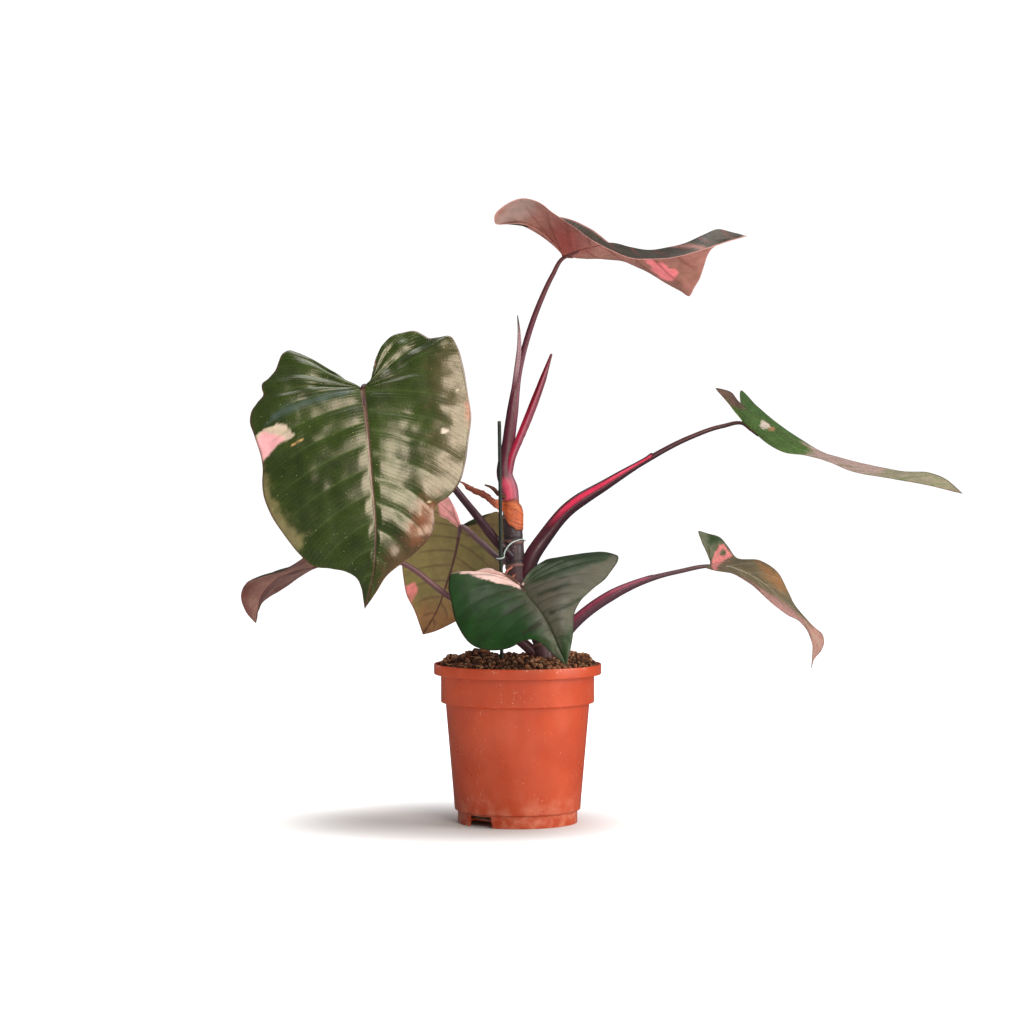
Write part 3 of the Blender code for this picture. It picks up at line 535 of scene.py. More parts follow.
# Colours of each blade: upper face, a second tone of it, underside, its second tone, its midrib above and
# below, and its rim.
TONES = {
    "upper_left": ((46, 64, 12), (36, 52, 10), (96, 62, 54), (112, 74, 58), (98, 70, 60), (70, 38, 40),
                   (96, 66, 50)),
    "lower_left": ((50, 62, 34), (42, 52, 30), (122, 88, 78), (100, 58, 54), (74, 42, 40), (74, 42, 42),
                   (96, 54, 50)),
    "back": ((44, 66, 32), (38, 56, 28), (126, 116, 70), (136, 116, 78), (80, 50, 46), (84, 50, 54),
             (128, 78, 66)),
    "front": ((30, 70, 28), (24, 56, 24), (96, 62, 54), (112, 74, 58), (60, 66, 44), (70, 40, 42),
              (40, 44, 30)),
    # The lower right blade's midrib colour above, (184, 170, 158), is a painted sheen line.
    "lower_right": ((112, 104, 78), (98, 88, 64), (150, 104, 96), (132, 86, 80), (184, 170, 158),
                    (110, 60, 62), (84, 54, 46)),
    "right": ((58, 86, 40), (50, 76, 34), (88, 126, 54), (74, 108, 46), (120, 124, 96), (90, 62, 56),
              (78, 60, 50)),
    "top": ((56, 48, 38), (46, 38, 30), (150, 98, 88), (136, 92, 80), (150, 130, 120), (112, 44, 44),
            (188, 134, 128)),
}

# Lateral veins, where they aren't just a little nearer to the rib's colour than the skin is.
VEIN_TONES = {
    "upper_left": (62, 80, 34), "back": (84, 60, 48), "front": (30, 48, 22), "top": (108, 44, 42)}


def blade_rows(leaf, side, shares, across):
    """Points from the rib out to the margin of one half, in the plant's millimetres."""
    rib = np.asarray(leaf["rib"], float)
    margin = np.vstack([rib[:1], leaf[side], rib[-1:]])
    fan = np.clip((shares - VEIN_FAN) / (1.0 - VEIN_FAN), 0.0, 1.0) ** VEIN_SWEEP
    low = smooth_curve(rib, fan)[:, None]
    high = smooth_curve(margin, shares)[:, None]
    face = np.asarray(leaf["face"], float)
    face /= np.linalg.norm(face)
    length = np.linalg.norm(high - low, axis=2)
    near = side == "near"
    camber = leaf["camber"][0 if near else 1]
    rise = np.interp(shares, np.linspace(0.0, 1.0, len(camber)), camber)[:, None]
    inward = np.cross((high - low) / np.maximum(length, 1e-6)[..., None], face) * (1.0 if near else -1.0)
    first = np.maximum(0.0, 1.0 - shares / VEIN_FAN)[:, None]
    bow = leaf["bow"] * first * np.minimum(1.0, length / BOW_REACH)
    arch = rise * 4.0 * across * (1.0 - across)
    bend = bow * BOW_PEAK * across * (1.0 - across) ** 2
    place = low + (high - low) * across[None, :, None]
    return place + face * arch[..., None] + inward * bend[..., None], length


def outline_distance(points, outline):
    """Distance of points in a plane to an outline: positive inside."""
    outline = np.asarray(outline, float)
    nearest = np.full(len(points), 1e9)
    inside = np.zeros(len(points), bool)
    for start, end in zip(outline, np.roll(outline, -1, axis=0)):
        edge = end - start
        offset = points - start
        t = np.clip((offset @ edge) / (edge @ edge), 0.0, 1.0)
        nearest = np.minimum(nearest, np.linalg.norm(offset - t[:, None] * edge, axis=1))
        crosses = (start[1] > points[:, 1]) != (end[1] > points[:, 1])
        rise = edge[1] if abs(edge[1]) > 1e-9 else 1e-9
        inside ^= crosses & (points[:, 0] < start[0] + (points[:, 1] - start[1]) / rise * edge[0])
    return np.where(inside, nearest, -nearest)


def blade_grid(leaf, rows, columns):
    """Both halves of a blade as one list of points, and what is known about each point: its share of the
    margin, its share of the way out from the rib, its distances from rib and rim, and its half."""
    shares = np.linspace(0.0, 1.0, rows + 1)
    across = np.linspace(0.0, 1.0, columns + 1) ** COLUMN_CROWDING
    points, facts, grids = [], [], []
    count = 0
    for half, side in enumerate(("near", "far")):
        place, length = blade_rows(leaf, side, shares, across)
        index = count + np.arange(place[..., 0].size).reshape(place.shape[:2])
        u = np.repeat(shares[:, None], columns + 1, axis=1)
        v = np.repeat(across[None, :], rows + 1, axis=0)
        known = [u, v, v * length, (1 - v) * length, np.full(u.shape, half)]
        facts.append(np.stack(known, -1).reshape(-1, len(known)))
        points.append(place.reshape(-1, 3))
        if half:
            index[:, 0] = grids[0][:, 0]
        index[0, :] = grids[0][0, 0] if half else index[0, 0]
        index[shares <= VEIN_FAN, 0] = index[0, 0]
        index[-1, :] = grids[0][-1, 0] if half else index[-1, 0]
        grids.append(index)
        count += u.size
    return np.concatenate(points), np.concatenate(facts), grids


def blade_relief(name, facts, points):
    """Height of the skin above the blade's smooth middle, for its upper face and for its underside."""
    _, _, veins, swell, undulation, rib_width = BLADE_FORM[name]
    u, v, from_rib, _, half = facts.T
    phase = veins * (u - VEIN_CURVE * v**2) + half * VEIN_OFFSET
    off_vein = np.abs(phase - np.round(phase))
    band = np.floor(phase) * BAND_MIX[0] + half * BAND_MIX[1]
    uneven = 0.75 + 0.5 * np.abs(np.sin(band))
    middle = smoothstep(0.0, 0.12, v) * (1.0 - smoothstep(0.72, 0.98, v))
    height = swell * uneven * np.sin(np.pi * off_vein) * middle
    height += undulation * fractal(points, UNDULATION_LENGTH, 3) * smoothstep(0.05, 0.5, v)
    fade = np.clip(1.15 - u, 0.25, 1.0)
    groove = np.exp(-((from_rib / (rib_width * fade)) ** 2))
    vein_ridge = np.exp(-((off_vein / VEIN_WIDTH) ** 2))
    vein_ridge = vein_ridge * (1.0 - smoothstep(0.5, 0.95, v)) * smoothstep(0.0, 0.05, v)
    above = height - RIB_GROOVE * groove
    below = height - RIB_KEEL * fade * groove - VEIN_RIDGE * vein_ridge
    return above, below, phase, vein_ridge, groove


def blade_tint(name, facts, points, under, vein_ridge, groove):
    """The colour of every point of one face."""
    _, v, _, from_edge, _ = facts.T
    upper, upper_dark, low, low_dark, rib_above, rib_below, rim = [rgb(*tone) for tone in TONES[name]]
    first, second = (low, low_dark) if under else (upper, upper_dark)
    cloud = fractal(points, 0.022, 5)
    colour = blend(first, second, smoothstep(-0.6, 0.7, cloud))
    for faces, outline, tone, soft, wander in PATCHES.get(name, []):
        if faces in ("both", "under" if under else "upper"):
            plane = points[:, [0, 2]] / MM - np.array([0.0, ROOT_HEIGHT / MM])
            distance = outline_distance(plane, outline) + wander * fractal(points, 0.006, 9, 4)
            colour = blend(colour, tone, smoothstep(-soft, soft, distance))
    # On the lower right blade the midrib colour above is a painted sheen line, which also tints its veins.
    rib = rib_below if under else rib_above
    vein = rgb(*VEIN_TONES[name]) if name in VEIN_TONES else 0.7 * first + 0.3 * rib
    colour = blend(colour, vein, 0.6 * np.clip(vein_ridge, 0, 1))
    colour = blend(colour, rib, 0.95 * smoothstep(0.25, 0.7, groove))
    return blend(colour, rim, 0.8 * (1.0 - smoothstep(0.3, 1.1, from_edge)) * smoothstep(0.05, 0.12, v))


def leaf_material(name, roughness, gloss, freckles, grain, coat=0.0):
    """A leaf's skin: its stored colour, mottled, with fine veins, cells and uneven gloss."""
    nodes = Nodes(name)
    tint = nodes.stored("tint", "Color")
    mottle = nodes.ramp(nodes.noise(170.0, 4.0), 0.3, 0.75, 0.84, 1.1)
    fine = nodes.ramp(nodes.noise(1500.0, 2.0), 0.25, 0.8, 0.92, 1.07)
    shade = nodes.maths("MULTIPLY", mottle, fine)
    colour = nodes.shaded(tint, shade)
    fleck = nodes.ramp(nodes.cells(240.0), 0.035, 0.075, freckles, 0.0)
    colour = nodes.mix(fleck, colour, rgb(196, 186, 130))
    phase = nodes.maths("MULTIPLY", nodes.stored("phase", "Fac"), 6.0)
    ripple = nodes.maths("PINGPONG", phase, 0.5)
    minor = nodes.ramp(ripple, 0.0, 0.2)
    faint = nodes.maths("MULTIPLY", nodes.maths("SUBTRACT", 1.0, minor), 0.03)
    colour = nodes.mix(faint, colour, rgb(150, 140, 100))
    cells = nodes.bump(nodes.cells(grain), 0.00006, 0.5)
    pores = nodes.bump(nodes.noise(700.0, 4.0), 0.00012, 0.6, cells)
    normal = nodes.bump(minor, 0.00008, 0.6, pores)
    rough = nodes.ramp(nodes.noise(90.0, 5.0), 0.3, 0.7, roughness * 0.85, roughness * 1.25)
    nodes.shader.inputs["Specular IOR Level"].default_value = gloss
    nodes.shader.inputs["IOR"].default_value = 1.45
    nodes.shader.inputs["Specular Tint"].default_value = (1.0, 0.9, 0.78, 1.0)
    nodes.shader.inputs["Coat Weight"].default_value = coat
    nodes.shader.inputs["Coat Roughness"].default_value = 0.24
    return nodes.finish(Base_Color=colour, Roughness=rough, Normal=normal)


def make_blade(name, leaf):
    """One blade: an upper and a lower skin that meet at the rim."""
    rows, columns = BLADE_FORM[name][:2]
    flat, facts, grids = blade_grid(leaf, rows, columns)
    points = placed(flat)
    quads = np.concatenate([grid_quads(grids[0])[:, ::-1], grid_quads(grids[1])])
    normals = point_normals(points, quads)
    used = np.unique(quads)
    if (normals[used] @ np.asarray(leaf["face"], float)).sum() < 0:
        normals = -normals
        quads = quads[:, ::-1]
    above, below, phase, vein_ridge, groove = blade_relief(name, facts, points)
    taper = RIM_SHARE + (1.0 - RIM_SHARE) * smoothstep(0.0, RIM_REACH, facts[:, 3])
    half_thickness = 0.5 * BLADE_THICKNESS * taper
    top = points + normals * (above * MM + half_thickness)[:, None]
    bottom = points + normals * (below * MM - half_thickness)[:, None]
    count = len(points)
    tints = [blade_tint(name, facts, points, under, vein_ridge, groove) for under in (False, True)]
    faces = tidy_faces(quads)
    faces += tidy_faces(quads[:, ::-1] + count)
    skins = [0] * (len(faces) // 2) + [1] * (len(faces) - len(faces) // 2)
    for half, index in enumerate(grids):
        edge = index[:, -1]
        rim = np.stack([edge[:-1], edge[1:], edge[1:] + count, edge[:-1] + count], axis=1)
        outward = rim if half else rim[:, ::-1]
        faces += tidy_faces(outward)
        skins += [1] * (len(faces) - len(skins))
    verts = np.concatenate([top, bottom])
    tint = np.concatenate(tints)
    keep = np.unique(np.concatenate([np.asarray(face) for face in faces]))
    renumber = np.zeros(len(verts), int)
    renumber[keep] = np.arange(len(keep))
    faces = [[int(renumber[c]) for c in face] for face in faces]
    phases = np.concatenate([phase, phase])[keep]
    obj = mesh_object(
        f"leaf_{name}", verts[keep], faces, LEAF_SKINS[name], tint[keep], extra={"phase": phases},
        face_material=skins)
    return stand_for(obj, f"blade_{name}")


LEAF_SKINS = {
    name: [leaf_material(f"{name}_upper", rough, gloss, freckles, grain, coat),
           leaf_material(f"{name}_under", 0.5, 0.35, 0.2, grain)]
    for name, rough, gloss, freckles, grain, coat in (
        ("upper_left", 0.24, 0.95, 0.9, 1400.0, 0.45), ("lower_left", 0.4, 0.4, 0.3, 1500.0, 0.0),
        ("back", 0.4, 0.4, 0.3, 1500.0, 0.0), ("front", 0.38, 0.4, 0.3, 1500.0, 0.0),
        ("lower_right", 0.38, 0.4, 0.3, 1500.0, 0.0), ("right", 0.38, 0.4, 0.3, 1500.0, 0.0),
        ("top", 0.36, 0.45, 0.3, 1500.0, 0.0))}

for leaf_name, leaf_data in LEAVES.items():
    make_blade(leaf_name, leaf_data)


# ---------------------------------------------------------------------------------------------------------
# Stalks, stem and other round pieces

FRONT = np.array([0.0, -1.0, 0.0])
CAP_STEPS = np.array([0.35, 0.7, 0.93])


def tube_frames(path, count):
    """Centres, directions and two cross directions along a path. Angle 0 looks to the front."""
    shares = np.linspace(0.0, 1.0, count)
    centres = smooth_curve(path, shares)
    along = np.gradient(centres, axis=0)
    along /= np.linalg.norm(along, axis=1)[:, None]
    ahead = FRONT - (along @ FRONT)[:, None] * along
    ahead /= np.linalg.norm(ahead, axis=1)[:, None]
    return shares, centres, ahead, np.cross(along, ahead), along


def round_piece(name, node, path, radii, material, paint, sides=40, step=0.6, shape=None, dome=1.0):
    """A round bar along a path in the plant's millimetres, with domed ends, its own section and colours.
    "shape" adds to the radius and "paint" gives the colour, for a share of the length and an angle."""
    steps = np.linalg.norm(np.diff(np.asarray(path, float), axis=0), axis=1)
    count = max(12, int(steps.sum() / step))
    shares, centres, ahead, beside, along = tube_frames(path, count)
    radius = np.interp(shares, np.linspace(0.0, 1.0, len(radii)), radii)
    drop = np.sqrt(1.0 - CAP_STEPS**2)
    start = centres[0] - along[0] * (radius[0] * dome * CAP_STEPS[::-1])[:, None]
    end = centres[-1] + along[-1] * (radius[-1] * dome * CAP_STEPS)[:, None]
    centres = np.concatenate([start, centres, end])
    radius = np.concatenate([radius[0] * drop[::-1], radius, radius[-1] * drop])
    source = np.concatenate([np.zeros(3, int), np.arange(count), np.full(3, count - 1)])
    ahead, beside, shares = ahead[source], beside[source], shares[source]
    theta = np.linspace(0.0, 2.0 * np.pi, sides, endpoint=False)
    s = np.repeat(shares[:, None], sides, axis=1)
    angle = np.repeat(theta[None, :], len(shares), axis=0)
    angle = (angle + np.pi) % (2.0 * np.pi) - np.pi
    r = radius[:, None] + (shape(s, angle) if shape else 0.0) * (radius / radius.max())[:, None] ** 0.3
    r = np.maximum(r, 0.05)
    spots = centres[:, None] + r[..., None] * (
        np.cos(angle)[..., None] * ahead[:, None] + np.sin(angle)[..., None] * beside[:, None])
    points = placed(spots.reshape(-1, 3))
    index = np.arange(len(points)).reshape(len(shares), sides)
    index = np.concatenate([index, index[:, :1]], axis=1)
    faces = grid_quads(index)[:, ::-1].tolist()
    faces.append(list(range(sides)))
    faces.append(list(range(len(points) - sides, len(points)))[::-1])
    tint = paint(s.ravel(), angle.ravel())
    obj = mesh_object(name, points, faces, [material], tint)
    return stand_for(obj, node)


def near_angle(angle, degrees, width):
    """1 at an angle round the bar, falling off over a width, both in degrees."""
    off = (angle - math.radians(degrees) + np.pi) % (2.0 * np.pi) - np.pi
    return np.exp(-((off / math.radians(width)) ** 2))


def streaks(s, angle, seed, fine=4.0, long=5.0):
    """Long streaks round a bar, from -1 to 1."""
    spots = np.stack([np.cos(angle) * fine, np.sin(angle) * fine, s * long], axis=-1)
    return fractal(spots, 1.0, seed, 3)


def stalk_material(name, roughness, gloss, fleck_scale, fleck):
    """A fleshy stalk's skin: its stored colour with fine streaks, pale flecks and a waxy, uneven gloss."""
    nodes = Nodes(name)
    tint = nodes.stored("tint", "Color")
    cloud = nodes.ramp(nodes.noise(200.0, 4.0), 0.3, 0.75, 0.9, 1.08)
    grain = nodes.ramp(nodes.noise(2200.0, 2.0), 0.3, 0.75, 0.96, 1.04)
    colour = nodes.shaded(tint, nodes.maths("MULTIPLY", cloud, grain))
    spots = nodes.ramp(nodes.cells(fleck_scale), 0.08, 0.16, fleck, 0.0)
    colour = nodes.mix(spots, colour, rgb(190, 140, 135))
    low = nodes.bump(nodes.noise(700.0, 4.0), 0.00008, 0.4)
    normal = nodes.bump(spots, 0.0001, 0.4, low)
    rough = nodes.ramp(nodes.noise(260.0, 4.0), 0.3, 0.7, roughness * 0.85, roughness * 1.25)
    nodes.shader.inputs["Specular IOR Level"].default_value = gloss
    return nodes.finish(Base_Color=colour, Roughness=rough, Normal=normal)


def two_tone(first, second, seed, fine=3.0, long=4.0):
    """A paint of two streaky tones."""
    def paint(s, angle):
        return blend(rgb(*first), rgb(*second), smoothstep(-0.5, 0.6, streaks(s, angle, seed, fine, long)))
    return paint


def leaf_end(name, petiole, sink):
    """A petiole's points, which run on under the blade's rib."""
    rib = LEAVES[name]["rib"]
    under = np.asarray(UNDER[name], float)
    under /= np.linalg.norm(under)
    ends = smooth_curve(rib, [0.0, 0.035, 0.08])
    return petiole + [tuple(ends[i] + under * depth) for i, depth in enumerate(sink)]


# Which way each stalk's end lies from the rib that it holds.
UNDER = {
    "upper_left": (0, 1, -0.2), "lower_left": (0.3, -0.7, -0.8), "back": (0, -1, -0.1),
    "front": (0, 0.6, -0.8), "lower_right": (0, 0, -1), "right": (-0.2, 0, -1), "top": (0, 0, -1),
}

# Roughness, gloss, flecks in a metre and how much the flecks show.
SKIN = {
    name: stalk_material(f"stalk_{name}", *settings) for name, *settings in (
        ("petiole", 0.34, 0.5, 300.0, 0.1), ("stem", 0.42, 0.4, 300.0, 0.45),
        ("young", 0.3, 0.5, 500.0, 0.05), ("root", 0.6, 0.3, 900.0, 0.3), ("dead", 0.7, 0.2, 600.0, 0.2))}


def paint_upper_left(s, angle):
    """Black-purple, greyer away from the stem."""
    base = blend(rgb(44, 22, 32), rgb(66, 40, 48), smoothstep(0.1, 0.8, s))
    return blend(base, rgb(92, 58, 66), 0.5 * smoothstep(0.0, 0.6, streaks(s, angle, 2)))


def paint_right(s, angle):
    """Purple-black, with the sheath's crimson channel on the front side and a painted pale highlight streak
    in it.
    """
    base = blend(rgb(70, 30, 42), rgb(92, 52, 52), smoothstep(0.55, 0.95, s))
    base = blend(base, rgb(120, 66, 80), 0.6 * near_angle(angle, -120, 40) * (1.0 - smoothstep(0.3, 0.5, s)))
    base = blend(base, rgb(40, 18, 28), near_angle(angle, 60, 40))
    inside = smoothstep(0.17, 0.3, s) * (1.0 - smoothstep(0.6, 0.615, s))
    channel = smoothstep(0.25, 0.7, near_angle(angle, -30, 30)) * inside
    base = blend(base, rgb(214, 46, 84), channel)
    base = blend(base, rgb(46, 18, 30), near_angle(angle, -84, 20) * inside)
    # A pale pink streak in the channel: a painted highlight.
    glow = near_angle(angle, -40, 12) * inside * smoothstep(0.0, 0.5, streaks(s, angle, 3, 1.0, 9.0))
    return blend(base, rgb(236, 120, 146), 0.5 * glow)


def shape_right(s, angle):
    """A channel between two raised edges, which ends in a pointed notch where the sheath ends."""
    inside = smoothstep(0.1, 0.25, s) * (1.0 - smoothstep(0.61, 0.618, s))
    notch = smoothstep(0.585, 0.612, s) * (1.0 - smoothstep(0.612, 0.618, s))
    return inside * (0.5 * near_angle(angle, -84, 18) + 0.35 * near_angle(angle, 12, 16)
                     - 0.8 * near_angle(angle, -32, 26)) + 0.9 * notch * near_angle(angle, -75, 26)


def paint_lower_right(s, angle):
    """Purple, with a pink line along its upper third."""
    base = blend(rgb(82, 48, 60), rgb(92, 66, 66), smoothstep(0.5, 0.95, s))
    base = blend(base, rgb(58, 34, 44), near_angle(angle, 80, 50))
    line = near_angle(angle, -45, 26) * (1.0 - smoothstep(0.6, 0.66, s))
    base = blend(base, rgb(178, 78, 106), 0.85 * line)
    return blend(base, rgb(60, 30, 40), 0.8 * near_angle(angle, -100, 22) * (1.0 - smoothstep(0.6, 0.66, s)))


def shape_lower_right(s, angle):
    """A shallow channel on its upper side, up to the sheath's notch."""
    inside = smoothstep(0.05, 0.2, s) * (1.0 - smoothstep(0.645, 0.655, s))
    return inside * (0.5 * near_angle(angle, -92, 20) - 0.45 * near_angle(angle, -50, 24))


def paint_top(s, angle):
    """Maroon-brown, lighter on its right edge low down, coral on the left of its foot."""
    base = blend(rgb(88, 34, 50), rgb(92, 46, 48), smoothstep(0.5, 1.0, s))
    base = blend(base, rgb(136, 84, 98), 0.7 * near_angle(angle, 55, 22) * (1.0 - smoothstep(0.45, 0.7, s)))
    base = blend(base, rgb(44, 18, 28), 0.8 * near_angle(angle, -66, 30) * (1.0 - smoothstep(0.5, 0.8, s)))
    base = blend(base, rgb(40, 18, 26), 0.6 * near_angle(angle, 85, 20))
    foot = 1.0 - smoothstep(0.06, 0.1, s)
    return blend(base, rgb(222, 84, 110), 0.85 * foot * near_angle(angle, -20, 50))


def shape_top(s, angle):
    """The winged edges of the sheath low on the top stalk."""
    inside = smoothstep(0.03, 0.1, s) * (1.0 - smoothstep(0.42, 0.5, s))
    return inside * (0.5 * near_angle(angle, -62, 18) + 0.35 * near_angle(angle, 70, 20)
                     - 0.5 * near_angle(angle, 10, 30))


# Each stalk: its path and radii in millimetres, its colours, its section, and how deep the last three points
# lie under the rib.
PETIOLES = {
    "upper_left": ([(-5, -4, 79), (-15, -11, 90), (-27, -25, 106), (-44, -45, 128), (-78, -68, 176)],
                   [3.6, 3.3, 2.7, 2.5, 2.4, 2.2, 1.9, 1.2], paint_upper_left, None, (2.0, 1.4, 0.6)),
    "lower_left": ([(17, 1, 4), (9, 2, 12), (1, 2, 19), (-16, 2, 32), (-49, 0, 50), (-82, -5, 74),
                    (-112, -12, 83)],
                   [4, 3.9, 3.2, 2.4, 2.1, 2, 1.9, 1.8, 1.0], two_tone((84, 52, 60), (112, 74, 74), 5), None,
                   (1.4, 1.0, 0.5)),
    "back": ([(-3, 5, 72), (-15, 22, 78), (-27, 34, 88)], [2.6, 2.4, 2.3, 2.1, 1.2],
             two_tone((84, 60, 66), (112, 84, 86), 6), None, (1.6, 1.2, 0.6)),
    "front": ([(14, -2, 19), (9, -14, 34)], [3, 2.5, 2, 1.2], two_tone((74, 44, 54), (96, 60, 66), 7), None,
              (1.6, 1.2, 0.6)),
    "lower_right": ([(23, 0, 7), (40, 0, 30), (68, 0, 51), (93, 0, 62), (116, 0, 68)],
                    [5, 4.3, 4, 3.8, 2.6, 1.7, 1.6, 1.0], paint_lower_right, shape_lower_right,
                    (1.2, 1.0, 0.5)),
    "right": ([(5, 0, 63), (10, 0, 78), (20, 2, 93), (35, 4, 111), (65, 6, 131), (88, 7, 145), (124, 9, 164),
               (147, 10, 172)],
              [6, 5.6, 4.9, 4.8, 3.5, 2.2, 1.9, 1.7, 1.5, 1.0], paint_right, shape_right, (1.3, 1.0, 0.5)),
    "top": ([(-5, 0, 119.5), (-5.6, 0, 127), (-9, 0, 136), (-7, 0, 156), (-4, 0, 180), (1, 0, 212),
             (17, 0, 263), (25, 0, 280)],
            [6, 5.6, 4.4, 4, 2.7, 2.2, 2.1, 1.9, 1.6, 1.1], paint_top, shape_top, (1.5, 1.1, 0.5)),
}

for leaf_name, (points, radii, paint, shape, sink) in PETIOLES.items():
    round_piece(
        f"stalk_{leaf_name}", f"petiole_{leaf_name}", leaf_end(leaf_name, points, sink), radii,
        SKIN["petiole"], paint, shape=shape)

STEM_PATH = [(24, 0, -30), (20, 0, 3), (17, 0, 19), (9, 0, 39), (1, 0, 58), (-3, 0, 91), (-5, 0, 119)]
STEM_RADII = [8, 7, 6.7, 7, 7, 7, 6]
STEM_RINGS = (0.3, 0.44, 0.575, 0.69, 0.81, 0.93)


def shape_stem(s, angle):
    """The scars of old leaves: rings with a groove above each, a little tilted."""
    total = np.zeros_like(s)
    for count, ring in enumerate(STEM_RINGS):
        at = s - ring - 0.008 * np.cos(angle + count * 2.1)
        total += 0.55 * np.exp(-((at / 0.008) ** 2)) - 0.35 * np.exp(-(((at - 0.016) / 0.006) ** 2))
    return total + 0.25 * streaks(s, angle, 8, 2.0, 7.0)


def paint_stem(s, angle):
    """Purple-brown low down, dark grey higher, orange-brown under the dry sheath; pale on the rings."""
    base = blend(rgb(84, 58, 62), rgb(62, 50, 54), smoothstep(0.62, 0.72, s))
    base = blend(base, rgb(150, 78, 50), smoothstep(0.93, 0.96, s))
    base = blend(base, rgb(112, 88, 86), 0.5 * smoothstep(0.1, 0.7, streaks(s, angle, 9, 4.0, 12.0)))
    for count, ring in enumerate(STEM_RINGS):
        at = s - ring - 0.008 * np.cos(angle + count * 2.1)
        base = blend(base, rgb(138, 98, 88), 0.7 * np.exp(-((at / 0.006) ** 2)))
        base = blend(base, rgb(34, 24, 26), 0.7 * np.exp(-(((at - 0.016) / 0.006) ** 2)))
    return base


round_piece("stem", "main_stem", STEM_PATH, STEM_RADII, SKIN["stem"], paint_stem, sides=48,
            shape=shape_stem, dome=0.15)


def shape_spear(s, angle):
    """The turns of the rolled leaf: each turn's edge stands out, and winds slowly up the spear."""
    turn = ((angle - 0.5 - 2.4 * s) % (2.0 * np.pi)) / (2.0 * np.pi)
    return 0.55 * (turn - 0.5) * (1.0 - smoothstep(0.75, 1.0, s)) + 0.35 * near_angle(angle, 0, 22)


def paint_spear(s, angle):
    """Crimson on its left facet, a light ridge in front and mauve on its right facet."""
    left = blend(rgb(176, 30, 62), rgb(112, 10, 26), smoothstep(0.25, 0.7, s))
    right = blend(rgb(116, 54, 66), rgb(90, 34, 46), smoothstep(0.4, 0.9, s))
    base = blend(left, right, smoothstep(-0.25, 0.25, np.sin(angle)))
    base = blend(base, rgb(176, 96, 116), 0.7 * near_angle(angle, 4, 12) * (1.0 - smoothstep(0.8, 1.0, s)))
    edge = ((angle - 0.5 - 2.4 * s) % (2.0 * np.pi)) / (2.0 * np.pi)
    return blend(base, rgb(60, 12, 24), 0.8 * (1.0 - smoothstep(0.0, 0.05, edge)))


round_piece(
    "spear", "new_leaf_spear",
    [(-6, -1, 138), (-4, -3, 149), (1, -4, 162), (9, -4, 182), (17, -4, 203), (24, -4, 223)],
    [2.6, 2.9, 2.9, 2.9, 2.4, 0.9], SKIN["young"], paint_spear, step=0.8, shape=shape_spear)


def paint_sheath_tip(s, angle):
    """Grey-mauve with a dark tip."""
    base = blend(rgb(92, 40, 54), rgb(150, 116, 122), smoothstep(0.15, 0.4, s))
    sides = np.maximum(near_angle(angle, 85, 30), near_angle(angle, -85, 26))
    base = blend(base, rgb(74, 42, 52), 0.85 * sides)
    return blend(base, rgb(44, 28, 32), smoothstep(0.75, 0.95, s))


round_piece("sheath_point", "sheath_tip",
            [(-4, -1, 190), (-1, -2, 210), (1, -3, 226), (1, -3, 240), (0, -3, 251)],
            [1.8, 1.9, 2, 1.3, 0.35], SKIN["young"], paint_sheath_tip, step=0.8,
            shape=lambda s, angle: -0.5 * near_angle(angle, 5, 30) * np.ones_like(s))

round_piece("dead_stalk", "dead_stalk_stub",
            [(-8, -3, 121), (-14, -7, 124), (-18, -9, 128), (-23, -9, 130)], [1.8, 1.7, 1.3, 0.6],
            SKIN["dead"], two_tone((52, 30, 28), (96, 58, 46), 12), sides=20, step=0.5,
            shape=lambda s, angle: 0.35 * streaks(s, angle, 13, 2.0, 9.0))

ROOT_ROUTES = ([(-3, -5, 72), (-8, -11, 68), (-10, -12, 59)], [(-2, -6, 66), (-5, -12, 62), (-4, -13, 54)])

for number, route in enumerate(ROOT_ROUTES, start=1):
    round_piece(f"root_{number}", f"aerial_root_{number}", route, [0.9, 0.85, 0.75, 0.45],
                SKIN["root"], two_tone((132, 74, 64), (178, 108, 92), 14 + number), sides=18, step=0.4,
                shape=lambda s, angle: 0.14 * streaks(s, angle, 17, 2.0, 14.0))


# ---------------------------------------------------------------------------------------------------------
# Dry sheath, stake and clip

# The tail's middle line; then the wrap round the stem: angle, height and width at each stop.
SHEATH_TAIL = [(-41, -5, 132), (-33, -6, 127), (-24, -7, 123), (-16, -8, 117)]
SHEATH_AXIS = (-4, 0)
SHEATH_RADIUS = 7.9
SHEATH_WRAP = [
    (215, 114.5, 7), (250, 110.5, 17), (290, 109, 22), (330, 106, 17), (370, 103.5, 12), (410, 102.5, 7)]
SHEATH_TAIL_WIDTHS = [3.4, 4.4, 5.4, 6.2]
SHEATH_ROWS = 150
SHEATH_COLUMNS = 29
SHEATH_HALF_THICKNESS = 0.00016


